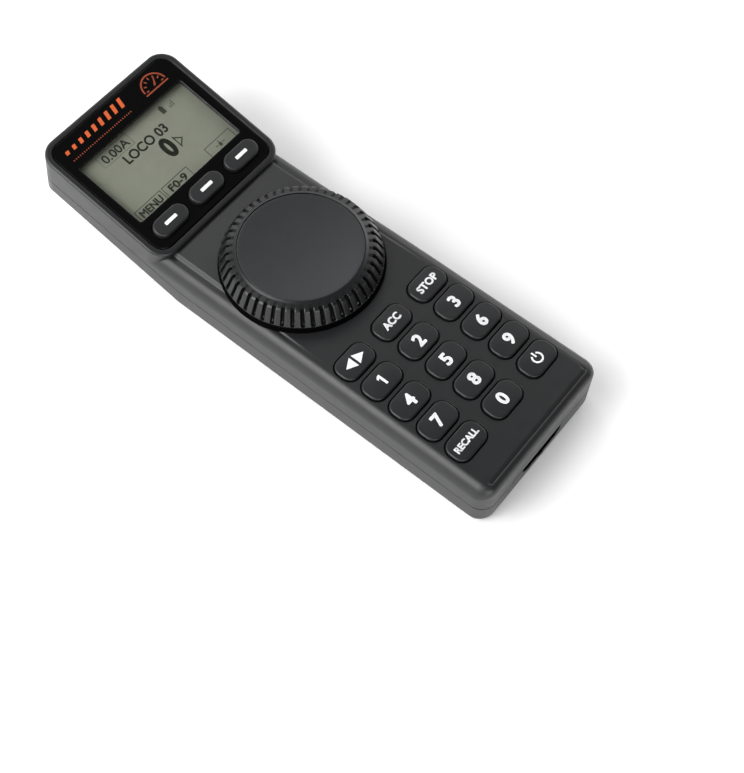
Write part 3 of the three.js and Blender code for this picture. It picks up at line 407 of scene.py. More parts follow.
def grip_solid():
    """Rings of the plan outline from the flat back up to the panel. The shoulder dips beside the dial."""
    top = STEP_Y + HEAD_CORNER + INTO_HEAD
    side_rows = [BOTTOM + CORNER + (top - BOTTOM - CORNER) * i / SIDE_ROWS for i in range(SIDE_ROWS + 1)]
    profile = [(BACK_RADIUS * (1 - math.sin(math.radians(a))),) * 2 +
               (BACK_RADIUS * (1 - math.cos(math.radians(a))),) * 2 +
               (0.0, 0.0, BACK_RADIUS * (1 - math.cos(math.radians(a)))) for a in range(0, 91, 10)]
    steps = 18
    for i in range(steps + 1):
        a = math.radians(90 * i / steps)
        profile.append((SIDE_REACH * (1 - math.cos(a)), END_REACH * (1 - math.cos(a)),
                        PANEL - SIDE_DROP + SIDE_CLIMB * math.sin(a),
                        PANEL - END_DROP + END_CLIMB * math.sin(a),
                        1.0, 0.0, PANEL - SIDE_DROP + KEY_SIDE_CLIMB * math.sin(a)))
    for d_side, d_end, z_side, z_end, low, out, z_keys in VALLEY:
        profile.append((d_side, d_end, PANEL + z_side, PANEL + z_end, low, out, PANEL + z_keys))
    rings = []
    for d_side, d_end, z_valley, z_end, low, out, z_keys in profile:
        ring = []

        def side_height(y):
            valley = ease(VALLEY_START, VALLEY_STOP, y)
            return z_keys * (1 - valley) + z_valley * valley

        def side_point(sign, y):
            sag = ease(DIP_START, DIP_STOP, y)
            return (sign * (HALF - d_side - SHOULDER_DIP * sag * out), y,
                    side_height(y) - SHOULDER_DIP * sag * low)

        z_side = side_height(BOTTOM)
        rx = max(CORNER - d_side, 0.25)
        ry = max(CORNER - d_end, 0.25)
        for y in side_rows:
            ring.append(side_point(1, y))
        for y in reversed(side_rows):
            ring.append(side_point(-1, y))
        for sign, angles in ((-1, range(6, 90, 6)), (1, range(84, 0, -6))):
            if sign == 1:
                ring.append((-(HALF - CORNER), BOTTOM + d_end, z_end))
                ring.append((HALF - CORNER, BOTTOM + d_end, z_end))
            for a in angles:
                t = math.radians(a)
                mix = ease(0, 90, a)
                ring.append((sign * (HALF - d_side - rx + rx * math.cos(t)),
                             BOTTOM + d_end + ry - ry * math.sin(t), z_side * (1 - mix) + z_end * mix))
        rings.append(ring)
    return loft("grip", rings)


def back_z(y):
    return (y - KNEE) * math.tan(BACK_TILT)


def face_point(along, depth):
    point = FACE @ Vector((0, along, -depth))
    return point.y, point.z


def head_solid():
    """The head: its plan outline along the face's normal, its end wall and its sloping back."""
    def outline(inset):
        return rounded(2 * (HALF - inset), HEAD_LENGTH - 2 * inset, HEAD_CORNER - inset, 16,
                       (0, HEAD_LENGTH / 2))
    levels = [(0.0, -70.0), (0.0, -HEAD_EDGE - 0.25)]
    levels += [(HEAD_EDGE - HEAD_EDGE * math.cos(math.radians(a)),
                -HEAD_EDGE + HEAD_EDGE * math.sin(math.radians(a))) for a in range(10, 91, 10)]
    levels += [(RIM - 0.45, 0.0), (RIM - 0.2, -0.08), (RIM - 0.08, -0.25), (RIM - 0.08, -0.3)]
    solid = placed(stack("head", outline, levels), FACE)
    low_y = STEP_Y - 14
    top_y, top_z = face_point(HEAD_LENGTH, 0)
    wall_length = (top_z - back_z(top_y)) / (math.cos(END_LEAN) + math.tan(BACK_TILT) * math.sin(END_LEAN))
    foot_y = top_y + wall_length * math.sin(END_LEAN)
    foot = Vector((foot_y, back_z(foot_y)))
    up = Vector((-math.sin(END_LEAN), math.cos(END_LEAN)))
    back = Vector((-math.cos(BACK_TILT), -math.sin(BACK_TILT)))
    radius = HEAD_FOOT_RADIUS
    turn = math.acos(max(-1, min(1, up.dot(back))))
    reach = radius / math.tan(turn / 2)
    centre = foot + (up + back).normalized() * (radius / math.sin(turn / 2))
    start = foot + back * reach - centre
    stop = foot + up * reach - centre
    first = math.atan2(start.y, start.x)
    sweep = (math.atan2(stop.y, stop.x) - first) % (2 * math.pi)
    corner = [(centre.x + radius * math.cos(first + sweep * i / 14),
               centre.y + radius * math.sin(first + sweep * i / 14)) for i in range(15)]
    side = [(low_y, back_z(low_y))] + corner + [(top_y + up.x * 60, top_z + up.y * 60), (low_y, top_z + 60)]
    return common(solid, across("head_side", side, BIG))


def back_wedge():
    """Everything above the back's slope behind the knee, its long edges rounded."""
    outline = rounded(2 * HALF, BIG, BACK_RADIUS, 10)
    solid = prism("wedge", outline, -BIG / 2, BIG / 2)
    turn = Matrix(((1, 0, 0, 0), (0, 0, -1, 0), (0, 1, 0, 0), (0, 0, 0, 1)))
    placed(solid, turn)
    return placed(solid, Matrix.Translation((0, KNEE, 0)) @ Matrix.Rotation(BACK_TILT, 4, "X")
                  @ Matrix.Translation((0, 0, BIG / 2)))


def seam_block(lift):
    start_y, start_z = face_point(0, SEAM_DEPTH - lift / math.cos(TILT))
    knee_y = start_y - (start_z - SEAM - lift) / math.tan(TILT)
    far_z = SEAM + lift + (BIG - knee_y) * math.tan(TILT)
    return across("above_seam", [(-BIG, SEAM + lift), (knee_y, SEAM + lift), (BIG, far_z), (BIG, BIG),
                                 (-BIG, BIG)], BIG)


FACE_WALL = 4.2
UNDER_SHOULDER = 9
SHOULDER_CHAMFER = 6


def inner_solid():
    """The hollow: under the grip it keeps clear of the rolled shoulders, in the head it follows the face."""
    low, high = BOTTOM + WALL, STEP_Y + 10

    def outline(inset):
        return rounded(2 * (HALF - WALL - inset), high - low - inset, 4, 6, (0, (low + high + inset) / 2))
    grip = stack("inside_grip", outline,
                 [(0, WALL), (0, PANEL - UNDER_SHOULDER), (SHOULDER_CHAMFER, PANEL - WALL)])
    common(grip, across("grip_below", [(low - 1, WALL), (KNEE, WALL),
                                       (high + 1, back_z(high + 1) + WALL + 1.5),
                                       (high + 1, PANEL), (low - 1, PANEL)], HALF))
    end_y, end_z = face_point(HEAD_LENGTH - WALL, FACE_WALL)
    low_y, low_z = face_point(9, FACE_WALL)
    head = across("inside_head", [
        (low_y - 2, back_z(low_y - 2) + WALL + 1), (end_y + 2.2, back_z(end_y + 2.2) + WALL + 1.5),
        (end_y, end_z), (low_y, low_z), (low_y - 2, PANEL - UNDER_SHOULDER)], HALF - WALL)
    plan = rounded(2 * (HALF - WALL), HEAD_LENGTH - 1.5 * WALL, HEAD_CORNER - WALL + 0.5, 8,
                   (0, (HEAD_LENGTH - WALL) / 2))
    common(head, placed(prism("inside_plan", plan, -80, 5), FACE))
    return add(grip, head)


case = common(grip_solid(), back_wedge())
add(case, common(head_solid(), back_wedge()))
inside = inner_solid()

KEYS = ["direction", "function", "stop", "1", "2", "3", "4", "5", "6", "7", "8", "9", "recall", "0", "power"]
KEY_CENTRES = {name: middle("key_" + name) for name in KEYS}
KEY_SIZE = (14.9, 9.5)
KEY_CORNER = 3.8
SOFT_KEYS = ["left", "middle", "right"]
SOFT_SIZE = (15.2, 7.4)
MOAT_OUTER, MOAT_INNER = 29.75, 26.5
BUSH_HOLE = 4.8
LIP_INSET = 0.7


def key_outline(grow, centre=(0, 0)):
    return rounded(KEY_SIZE[0] + 2 * grow, KEY_SIZE[1] + 2 * grow, KEY_CORNER + grow, 8, centre)


def soft_outline(grow, centre=(0, 0)):
    return rounded(SOFT_SIZE[0] + 2 * grow, SOFT_SIZE[1] + 2 * grow, SOFT_SIZE[1] / 2 + grow - 0.02, 12,
                   centre)


def face_outline(inset):
    return rounded(2 * (HALF - inset), HEAD_LENGTH - 2 * inset, max(0.4, HEAD_CORNER - inset), 16,
                   (0, HEAD_LENGTH / 2))


front = common(copy_of(case, "front"), seam_block(SEAM_GAP / 2))
cut(front, inside, keep=True)
holes = []
for centre in KEY_CENTRES.values():
    holes.append(stack("hole", lambda grow, c=centre: key_outline(grow, (c.x, c.y)),
                       [(0.42, PANEL - 5), (0.42, PANEL - 0.22), (0.48, PANEL - 0.08), (0.6, PANEL),
                        (0.6, PANEL + 2)]))
holes.append(prism("bush_hole", circle(BUSH_HOLE, 48, (0, DIAL.y)), PANEL - 5, PANEL + 5))
for hole in holes:
    cut(front, hole)
moat = stack("moat", lambda inset: circle(MOAT_OUTER - inset, 160, (0, DIAL.y)),
             [(0.2, PANEL - 0.9), (0.2, PANEL - 0.2), (0.12, PANEL - 0.06), (0.0, PANEL), (0.0, PANEL + 1)])
cut(moat, prism("moat_core", circle(MOAT_INNER, 120, (0, DIAL.y)), PANEL - 5, PANEL + 5))
cut(front, moat)
cut(front, placed(prism("recess", face_outline(RIM), -1.8, 8), FACE))
cut(front, placed(prism("opening", face_outline(RIM + 2), -9, 8), FACE))
finished(front, "case", CASE, ["front_shell"])

# A dark ring at the floor of the moat round the dial: painted shade under the dial's edge.
moat_floor = prism("moat_floor", circle(MOAT_OUTER - 0.25, 120, (0, DIAL.y)), PANEL - 0.88, PANEL - 0.8)
cut(moat_floor, prism("moat_middle", circle(MOAT_INNER + 0.1, 120, (0, DIAL.y)), PANEL - 5, PANEL + 5))
finished(moat_floor, "case", PAINTED_SHADE)

# The tongue behind the parting line, a little inside the case, in painted shade so that the seam shows as a
# dark line.
lip = common(copy_of(case, "seam_tongue"), seam_block(-0.6))
cut(lip, seam_block(0.6))
lip_rim = copy_of(case, "lip_rim")
for v in lip_rim.data.vertices:
    v.co.x *= (HALF - LIP_INSET) / HALF
    v.co.y = (v.co.y + 2) * (1 - LIP_INSET / 102) - 2
common(lip, lip_rim)
cut(lip, inside, keep=True)
cut(lip, slab("lip_slot", (-11.2, BOTTOM - 2, 0), (11.2, BOTTOM + WALL + 2, SEAM + 4)))
finished(lip, "case", PAINTED_SHADE)

# ------------------------------------------------------------------ rear shell and battery cover

COVER_HALF = cover_high.x - 1.2
TAB_HALF = 10.75
TAB_TOP = cover_high.z
BAY_END = cover_high.y + 0.3
BAY_HALF = COVER_HALF + 1.8
TAB_DIP, TAB_DIP_SLOPE = 2.6, 2.4
TAB_WALL = 0.55
NOTCH_HALF = 1.5
GRILLE_SLOTS, GRILLE_PITCH, GRILLE_REACH = 7, 1.9, 8.5

rear = cut(copy_of(case, "rear"), seam_block(-SEAM_GAP / 2))
cut(rear, inside)
for side in (-1, 1):
    x = side * (BAY_HALF + 0.6)
    add(rear, slab("bay_side", (x - 0.6, BOTTOM + 1, 1), (x + 0.6, BAY_END + 1.2, SEAM - 0.4)))
add(rear, slab("bay_end", (-BAY_HALF - 0.9, BAY_END, 1), (BAY_HALF + 0.9, BAY_END + 1.2, SEAM + 5)))
add(rear, slab("bay_rib", (-BAY_HALF - 0.9, BOTTOM + 2.6, 3.6), (BAY_HALF + 0.9, BOTTOM + 3.5, SEAM - 0.4)))
cut(rear, slab("bay_plate", (-COVER_HALF - 0.22, BOTTOM - 2, -2), (COVER_HALF + 0.22, BAY_END, 2.3)))
cut(rear, slab("bay_room", (-COVER_HALF - 0.3, BOTTOM + WALL, 1.0), (COVER_HALF + 0.3, BAY_END, 4)))
cut(rear, slab("bay_tab", (-TAB_HALF - 0.07, BOTTOM - 2, -2), (TAB_HALF + 0.07, BOTTOM + 2.3, SEAM + 2)))
cut(rear, slab("bay_rails", (-BAY_HALF, BOTTOM + 0.9, 2), (BAY_HALF, BOTTOM + 4, 3.6)))
SCREWS = [f"case_screw_{i}" for i in range(1, 7)]
GRIP_SCREWS = 4
WELL_RADIUS, BOSS_RADIUS = 2.6, 3.4
for index, screw in enumerate(SCREWS):
    centre = middle(screw)
    well = prism("well", circle(WELL_RADIUS, 40), -4, 2.9)
    top = prism("boss", circle(BOSS_RADIUS, 40), 1.0, 3.6)
    if index < GRIP_SCREWS:
        place = Matrix.Translation((centre.x, centre.y, 0))
    else:
        foot = FACE.inverted() @ centre
        away = Vector((foot.x, foot.y, 0))
        fall = (FACE @ away).z - back_z((FACE @ away).y)
        back_depth = fall / (math.cos(TILT) + math.sin(TILT) * math.tan(BACK_TILT))
        place = FACE @ Matrix.Translation((foot.x, foot.y, -back_depth))
    add(rear, placed(top, place))
    cut(rear, placed(well, place))
finished(rear, "case", CASE, ["rear_shell"])

cover = slab("cover", (-COVER_HALF, BOTTOM - 1, -1), (COVER_HALF, cover_high.y, 1.8))
add(cover, slab("tab", (-TAB_HALF, BOTTOM - 1, -1), (TAB_HALF, BOTTOM + WALL, TAB_TOP + 0.4)))
common(cover, case)
# The tab's top edge drops between its ends. A scoop behind a thin outer wall keeps the slot over it dark.
dip = [(x, TAB_TOP + 0.3 - TAB_DIP * min(1, TAB_DIP_SLOPE * math.cos(math.pi * x / (2 * TAB_HALF + 0.5))))
       for x in [TAB_HALF * (i / 12 - 1) * 1.02 for i in range(25)]]
hollow = loft("hollow", [[(x, y, z) for x, z in dip + [(BIG, TAB_TOP + 5), (-BIG, TAB_TOP + 5)]]
                         for y in (BOTTOM - 3, BOTTOM + WALL + 1)])
cut(cover, hollow)
cut(cover, slab("scoop", (-TAB_HALF + 0.8, BOTTOM + TAB_WALL, TAB_TOP - 5.2),
                (TAB_HALF - 0.8, BOTTOM + 2.4, TAB_TOP + 2)))
cut(cover, slab("notch", (-NOTCH_HALF, BOTTOM - 2, TAB_TOP - 3.4), (NOTCH_HALF, BOTTOM + 0.9, TAB_TOP + 1)))
for side in (-1, 1):
    x = side * (COVER_HALF - 0.6)
    add(cover, slab("web", (x - 0.6, BOTTOM + WALL, 1.0), (x + 0.6, cover_high.y, 3.3)))
    x = side * COVER_HALF
    add(cover, slab("tongue", (x - 1.2, BOTTOM + WALL, 2.3), (x + 1.2, cover_high.y, 3.3)))
for i in range(GRILLE_SLOTS):
    y = BOTTOM + 9 + i * GRILLE_PITCH
    reach = GRILLE_REACH - abs(i - GRILLE_SLOTS // 2) * 0.75
    cut(cover, prism("groove", rounded(2 * reach, 0.9, 0.44, 6, (0, y)), -1, 0.45))
finished(cover, "cover", CASE, ["battery_cover"])

# ------------------------------------------------------------------ head: plate, window, display

VIEW = (52.2, 29.8)
VIEW_Y = 31.2
SOFT_Y = 9.2
SOFT_X = [(FACE.inverted() @ middle("soft_key_" + name)).x for name in SOFT_KEYS]

plate = stack("face_panel", lambda inset: face_outline(RIM + 0.28 + inset),
              [(0.0, -1.6), (0.0, -0.28), (0.05, -0.12), (0.14, -0.03), (0.28, 0.0)])
cut(plate, stack("view_hole", lambda grow: rounded(VIEW[0] + 2 * grow, VIEW[1] + 2 * grow, 0.8 + grow, 6,
                                                   (0, VIEW_Y)),
                 [(0.0, -3), (0.0, -0.3), (0.12, -0.1), (0.3, 0.0), (0.3, 2)]))
for x in SOFT_X:
    cut(plate, stack("soft_hole", lambda grow, x=x: soft_outline(grow, (x, SOFT_Y)),
                     [(0.3, -3), (0.3, -0.25), (0.38, -0.08), (0.55, 0.0), (0.55, 2)]))
finished(placed(plate, FACE), "case", GLOSS, ["face_plate"])

NODE_MATERIALS = {
    "display_window": GLASS, "lcd_panel": LCD, "lcd_holder": HOLDER, "display_board": BOARD,
    "main_board": BOARD, "radio_module": STEEL, "soft_key_mat": SILICONE, "keypad_mat": SILICONE,
    "ribbon_cable": FILM,
    "encoder_shaft": STEEL, "encoder_body": STEEL, "encoder_nut": BRASS, "battery_cell_left": SLEEVE,
    "battery_cell_right": SLEEVE, "battery_terminal_positive": STEEL, "battery_terminal_negative": STEEL,
    "battery_link_plate": STEEL, **{screw: STEEL for screw in SCREWS}}
for name, material in NODE_MATERIALS.items():
    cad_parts[name].data.materials[0] = material

# ------------------------------------------------------------------ soft keys and keys


def dome(x, y, size, rise):
    return rise * (1 - (x / (size[0] / 2)) ** 2) * (1 - (y / (size[1] / 2)) ** 2)


def button(name, outline_at, size, low, top, edge, rise, flange=None):
    """A moulded cap: straight sides, a rounded edge and a slightly crowned top."""
    levels = [(0.0, low), (0.0, top - edge * 1.6)]
    if flange:
        levels = [(flange[0], low), (flange[0], low + flange[1]), (0.0, low + flange[1] + 0.01)] + levels[1:]
    for a in range(9, 91, 9):
        levels.append((-edge * (1 - math.cos(math.radians(a))),
                       top - edge + edge * math.sin(math.radians(a))))
    rings = [[(x, y, z) for x, y in outline_at(inset)] for inset, z in levels]
    last = rings[-1]
    for i in range(1, 9):
        t = 1 - i / 9
        rings.append([(x * t, y * t, top + dome(x * t, y * t, size, rise) - dome(x, y, size, rise) * t ** 2)
                      for x, y, _ in last])
    return loft(name, rings)


PRINT_EDGE = 1.0
PRINT_HEIGHT, PRINT_DEPTH = 0.02, 0.05


def decal(outlines, name, height_at, thickness=PRINT_HEIGHT):
    """Flat printed shapes from closed outlines, laid on a surface."""
    obj = refined(merged(name, [prism(name, outline, 0, 1) for outline in outlines]), PRINT_EDGE)
    for v in obj.data.vertices:
        v.co.z = height_at(v.co.x, v.co.y) + (thickness if v.co.z > 0.5 else -PRINT_DEPTH)
    return obj


def words(name, text, height, bold=0.0, width=None):
    """A line of text as a flat mesh, its capitals `height` tall and its strokes `bold` wider on every
    side, centred on the origin."""
    curve = bpy.data.curves.new(name, "FONT")
    curve.body = text
    curve.size = 1.0
    curve.resolution_u = 5
    curve.extrude = 0.5
    temp = bpy.data.objects.new(name, curve)
    bpy.context.scene.collection.objects.link(temp)
    graph = bpy.context.evaluated_depsgraph_get()
    mesh = bpy.data.meshes.new_from_object(temp.evaluated_get(graph))
    bpy.data.objects.remove(temp)
    obj = bpy.data.objects.new(name, mesh)
    bpy.context.scene.collection.objects.link(obj)
    xs = [v.co.x for v in mesh.vertices]
    ys = [v.co.y for v in mesh.vertices]
    scale = (height - 2 * bold) / (max(ys) - min(ys))
    stretch = scale if width is None else (width - 2 * bold) / (max(xs) - min(xs))
    for v in mesh.vertices:
        v.co.x = (v.co.x - (max(xs) + min(xs)) / 2) * stretch
        v.co.y = (v.co.y - (max(ys) + min(ys)) / 2) * scale
    if not bold:
        return obj
    copies = [obj]
    for i in range(8):
        a = 2 * math.pi * i / 8
        copies.append(shifted(copy_of(obj, name), bold * math.cos(a), bold * math.sin(a)))
    return merged(name, copies)


def laid(obj, height_at):
    """A line of text laid on a surface."""
    refined(obj, PRINT_EDGE)
    for v in obj.data.vertices:
        v.co.z = height_at(v.co.x, v.co.y) + (PRINT_HEIGHT if v.co.z > 0 else -PRINT_DEPTH)
    return obj


def bar(x, y, width, height, radius=0.1, lean=0.0):
    return [(px + lean * (py - y), py) for px, py in rounded(width, height, radius, 4, (x, y))]


def ring_shapes(radius, width, start, end, parts):
    shapes = []
    for i in range(parts):
        a = math.radians(start + (end - start) * i / parts)
        b = math.radians(start + (end - start) * (i + 1) / parts)
        inner, outer = radius - width / 2, radius + width / 2
        shapes.append([(inner * math.cos(a), inner * math.sin(a)), (outer * math.cos(a), outer * math.sin(a)),
                       (outer * math.cos(b), outer * math.sin(b)),
                       (inner * math.cos(b), inner * math.sin(b))])
    return shapes


KEY_TOP = PANEL + 0.92
KEY_RISE = 0.16
KEY_EDGE = 0.62
DIGIT_HEIGHT, DIGIT_BOLD = 5.1, 0.28
SOFT_TOP, SOFT_EDGE, SOFT_RISE = 1.95, 0.75, 0.05


def key_height(x, y):
    return KEY_TOP + dome(x, y, KEY_SIZE, KEY_RISE)


def soft_height(x, y):
    return SOFT_TOP + dome(x, y, SOFT_SIZE, SOFT_RISE)


# text, height, width, bold
LEGENDS = {"stop": ("STOP", 3.1, 9.6, 0.17), "function": ("ACC", 3.1, 7.8, 0.17),
           "recall": ("RECALL", 2.6, 10.9, 0.13)}
for name, centre in KEY_CENTRES.items():
    cap = button("cap_" + name, key_outline, KEY_SIZE, PANEL - 3.0, KEY_TOP, KEY_EDGE, KEY_RISE, (0.35, 0.7))
    finished(shifted(cap, centre.x, centre.y), "button_" + name, KEY, ["key_" + name])
    if name in LEGENDS:
        text, height, width, bold = LEGENDS[name]
        legend = laid(words("legend_" + name, text, height, bold, width), key_height)
    elif name == "direction":
        legend = decal([[(-0.5, -2.25), (-0.5, 2.25), (-4.5, 0)], [(0.5, 2.25), (0.5, -2.25), (4.5, 0)]],
                       "legend_direction", key_height)
    elif name == "1":
        legend = decal([bar(0.35, 0, 0.92, 4.4, 0.12),
                        [(0.1, 2.2), (0.1, 1.15), (-1.0, 0.65), (-1.0, 1.6)]], "legend_1", key_height)
    elif name == "power":
        legend = decal(ring_shapes(1.85, 0.66, 125, 415, 28) + [bar(0, 1.5, 0.66, 2.3, 0.25)],
                       "legend_power", key_height)
    else:
        legend = laid(words("legend_" + name, name, DIGIT_HEIGHT, DIGIT_BOLD), key_height)
    shifted(legend, centre.x, centre.y)
    finished(legend, "button_" + name, WHITE, angle=0)

for name, x in zip(SOFT_KEYS, SOFT_X):
    cap = button("pill_" + name, soft_outline, SOFT_SIZE, -2.6, SOFT_TOP, SOFT_EDGE, SOFT_RISE, (0.5, 0.6))
    on_face = FACE @ Matrix.Translation((x, SOFT_Y, 0))
    finished(placed(cap, on_face), "button_soft_" + name, SOFT, ["soft_key_" + name])
    mark = decal([bar(0, 0, 5.6, 1.35, 0.3)], "mark_" + name, soft_height)
    finished(placed(mark, on_face), "button_soft_" + name, WHITE, angle=0)

# ------------------------------------------------------------------ display contents and the print above it

LCD_DEPTH = 2.9
INK_SHIFT = (1.24, 1.06)


def on_display(obj, x, y, material):
    placed(obj, FACE @ Matrix.Translation((x + INK_SHIFT[0], y + INK_SHIFT[1], 0)))
    return finished(obj, "case", material, angle=0)


def ink_level(x, y):
    return -LCD_DEPTH


def ink_words(name, text, height, x, y, material, width=None, bold=0.012):
    return on_display(laid(words(name, text, height, bold, width), ink_level), x, y, material)


def ink_shapes(name, shapes, x, y, material):
    return on_display(decal(shapes, name, ink_level), x, y, material)


ink_words("lcd_current", "0.00A", 3.5, -12.0, 42.1, INK, 12.4, 0.08)
ink_words("lcd_title", "LOCO 03", 4.0, -2.0, 36.7, INK, 20.8, 0.13)
ink_words("lcd_speed", "0", 8.8, 2.7, 29.9, INK, 5.0, 0.5)
ink_shapes("lcd_arrow", [[(0, 2.7), (0, 1.9), (2.4, 0), (3.2, 0)], [(0, -2.7), (3.2, 0), (2.4, 0), (0, -1.9)],
                         [(0, -2.7), (0.45, -2.7), (0.45, 2.7), (0, 2.7)]], 6.4, 29.3, INK)
ink_shapes("lcd_battery", [bar(0, 0, 1.9, 3.0, 0.1), bar(0, 1.75, 0.9, 0.6, 0.1)], 12.4, 41.9, INK)
ink_shapes("lcd_signal", [bar(0, 0, 0.45, 1.2, 0.1), bar(0.9, 0.35, 0.45, 1.9, 0.1),
                          bar(1.8, 0.7, 0.45, 2.6, 0.1)], 15.6, 41.0, INK_PALE)


def ink_box(name, x, y, width, height, line, material):
    shapes = [bar(0, side * height / 2, width + line, line, 0.05) for side in (-1, 1)]
    shapes += [bar(side * width / 2, 0, line, height, 0.05) for side in (-1, 1)]
    ink_shapes(name, shapes, x, y, material)


ink_box("lcd_current_box", -12.0, 42.2, 15.0, 5.2, 0.16, INK_PALE)
for index, (x, text, width) in enumerate(((-19.0, "MENU", 10.6), (-5.2, "F0-9", 8.6), (17.6, "", 0))):
    ink_box(f"lcd_box_{index}", x, 18.0, 12.8, 4.5, 0.28, INK)
    if text:
        ink_words(f"lcd_label_{index}", text, 3.1, x, 17.9, INK, width, 0.14)
ink_shapes("lcd_lamp", [bar(0, 0, 1.3, 1.7, 0.5), bar(-1.7, 0.2, 1.2, 0.32, 0.1),
                        bar(1.7, 0.2, 1.2, 0.32, 0.1),
                        bar(0, 1.5, 0.32, 0.9, 0.1)], 17.4, 17.7, INK)


def on_plate(shapes, name, material):
    obj = decal(shapes, name, lambda x, y: 0.0, 0.015)
    return finished(placed(obj, FACE), "case", material, angle=0)


BAR_COUNT, BAR_PITCH, BAR_STEP = 9, 3.5, 0.32
TICK_COUNT, TICK_PITCH = 29, 1.02
GAUGE_X, GAUGE_Y = 18, 50.7

bars = []
for i in range(BAR_COUNT):
    height = 1.5 + BAR_STEP * i
    bars.append(bar(-24.4 + i * BAR_PITCH, 52.3 + height / 2, 1.5, height, 0.15, 0.25))
on_plate(bars, "print_bars", ORANGE)
on_plate([bar(-24.9 + TICK_PITCH * i, 49.3, 0.42, 0.55, 0.1) for i in range(TICK_COUNT)], "print_ticks",
         ORANGE_DIM)
gauge = [[(GAUGE_X + x, GAUGE_Y + y) for x, y in shape] for shape in ring_shapes(5.2, 0.65, 0, 180, 32)]
for i in range(7):
    a = math.radians(i * 30)
    gauge.append([(GAUGE_X + r * math.cos(a + w), GAUGE_Y + r * math.sin(a + w))
                  for r, w in ((3.2, -0.07), (4.3, -0.06), (4.3, 0.06), (3.2, 0.07))])
gauge.append([(17.5, 50.8), (18.5, 50.8), (20.35, 54.0), (20.1, 54.15)])
gauge.append(bar(GAUGE_X, 49.6, 11.2, 0.6, 0.1))
on_plate(gauge, "print_gauge", ORANGE_DIM)

# ------------------------------------------------------------------ dial

GROOVES = 50
# Across one rib and groove: share of the pitch, and how far into the groove it lies.
GROOVE_SHAPE = ((0.0, 0), (0.13, 0), (0.26, 0), (0.39, 0), (0.51, 0), (0.545, 0.1), (0.58, 0.8), (0.64, 1.45),
                (0.755, 1.65), (0.87, 1.45), (0.925, 0.8), (0.96, 0.1))
GROOVE_START, GROOVE_STOP, GROOVE_INNER = 0.56, 0.95, 24.0
R_BASE = 29.0
R_SEAT = 22.42
R_RING = 22.8
R_CAP = 22.33
Z_BASE, Z_CONE, Z_TOP = PANEL + 0.32, PANEL + 2.7, PANEL + 9.0
CONE_LEAN = math.radians(64)
ROLL, ROLL_RADIUS = 1.6, 25.05
RING_FALL = math.radians(13)
CAP_DISH = 0.9
ROUND = 160


def dial_profile():
    """(radius, height, share of the groove's depth, lean) from the undercut below the skirt up the cone,
    round the rolled edge and over the falling ring to the cap's seat."""
    edge = ROLL_RADIUS + ROLL * math.sin(RING_FALL)
    points = [(R_BASE - 3.0, Z_BASE, 0, 0), (R_BASE - 0.75, Z_BASE, 0, 0),
              (R_BASE - 0.6, Z_BASE + 0.15, 0, 0), (R_BASE - 0.55, Z_CONE - 0.65, 0, 0),
              (R_BASE - 0.3, Z_CONE - 0.52, 0, 0),
              (R_BASE - 0.06, Z_CONE - 0.44, 0, 0), (R_BASE, Z_CONE - 0.3, 0, 0),
              (R_BASE, Z_CONE - 0.1, 0, CONE_LEAN), (R_BASE - 0.05, Z_CONE, 0.1, CONE_LEAN),
              (R_BASE - 0.12, Z_CONE + 0.12, 0.8, CONE_LEAN)]
    centre = Vector((ROLL_RADIUS, Z_TOP - (edge - R_RING) * math.tan(RING_FALL) - ROLL * math.cos(RING_FALL)))
    foot = centre + ROLL * Vector((math.sin(CONE_LEAN), math.cos(CONE_LEAN)))
    first = Vector((R_BASE - 0.12, Z_CONE + 0.12))
    for i in range(1, 9):
        place = first.lerp(foot, i / 8)
        points.append((place.x, place.y, 1.0, CONE_LEAN))
    for i in range(1, 10):
        a = CONE_LEAN + (RING_FALL - CONE_LEAN) * i / 9
        points.append((centre.x + ROLL * math.sin(a), centre.y + ROLL * math.cos(a), 1.0, a))
    for radius, depth in ((25.24, 1.0), (25.1, 0.9), (25.0, 0.5), (24.95, 0.1), (24.88, 0.0), (23.6, 0.0)):
        points.append((radius, Z_TOP - (radius - R_RING) * math.tan(RING_FALL), depth, RING_FALL))
    points += [(22.82, Z_TOP, 0, 0), (22.68, Z_TOP + 0.1, 0, 0), (22.54, Z_TOP + 0.11, 0, 0),
               (22.44, Z_TOP + 0.02, 0, 0), (R_SEAT, Z_TOP - 0.2, 0, 0), (R_SEAT, Z_TOP - 1.5, 0, 0)]
    return points


rings = []
for radius, z, depth, lean in dial_profile():
    ring = []
    for g in range(GROOVES):
        for share, inside_groove in GROOVE_SHAPE:
            a = 2 * math.pi * (g + share) / GROOVES
            r = radius - depth * inside_groove * math.sin(lean)
            ring.append((r * math.cos(a), DIAL.y + r * math.sin(a),
                         z - depth * inside_groove * math.cos(lean)))
    rings.append(ring)
rings.append([(p[0] * 0.86, DIAL.y + (p[1] - DIAL.y) * 0.86, Z_TOP - 1.5) for p in rings[-1]])
rings.append([(p[0], p[1], Z_BASE) for p in rings[-1]])
knob = loft("knob", rings, closed=True)
finished(knob, "dial", KNOB, ["speed_dial"], angle=40)
# The groove walls and floors on the cone, the rolled edge and the ring get the second material: painted shade
# in the grooves.
knob.data.materials.append(GROOVE_PAINTED_SHADE)
for face in knob.data.polygons:
    place = face.center / MM - Vector((0, DIAL.y, 0))
    share = math.atan2(place.y, place.x) / (2 * math.pi) * GROOVES % 1
    in_shaded_groove = GROOVE_START < share < GROOVE_STOP and math.hypot(place.x, place.y) > GROOVE_INNER
    if in_shaded_groove and place.z > Z_CONE + 0.1:
        face.material_index = 1

# The skirt under the cone's lower edge is a dark band of painted shade, where the dial's overhang shades the
# undercut.
skirt = stack("knob_skirt", lambda inset: circle(R_BASE - inset, ROUND, (0, DIAL.y)),
              [(0.52, Z_BASE + 0.12), (0.5, Z_BASE + 0.2), (0.5, Z_CONE - 0.9), (0.6, Z_CONE - 0.82)])
cut(skirt, prism("skirt_core", circle(R_BASE - 0.85, 120, (0, DIAL.y)), PANEL - 1, PANEL + 9))
finished(skirt, "dial", PAINTED_SHADE)

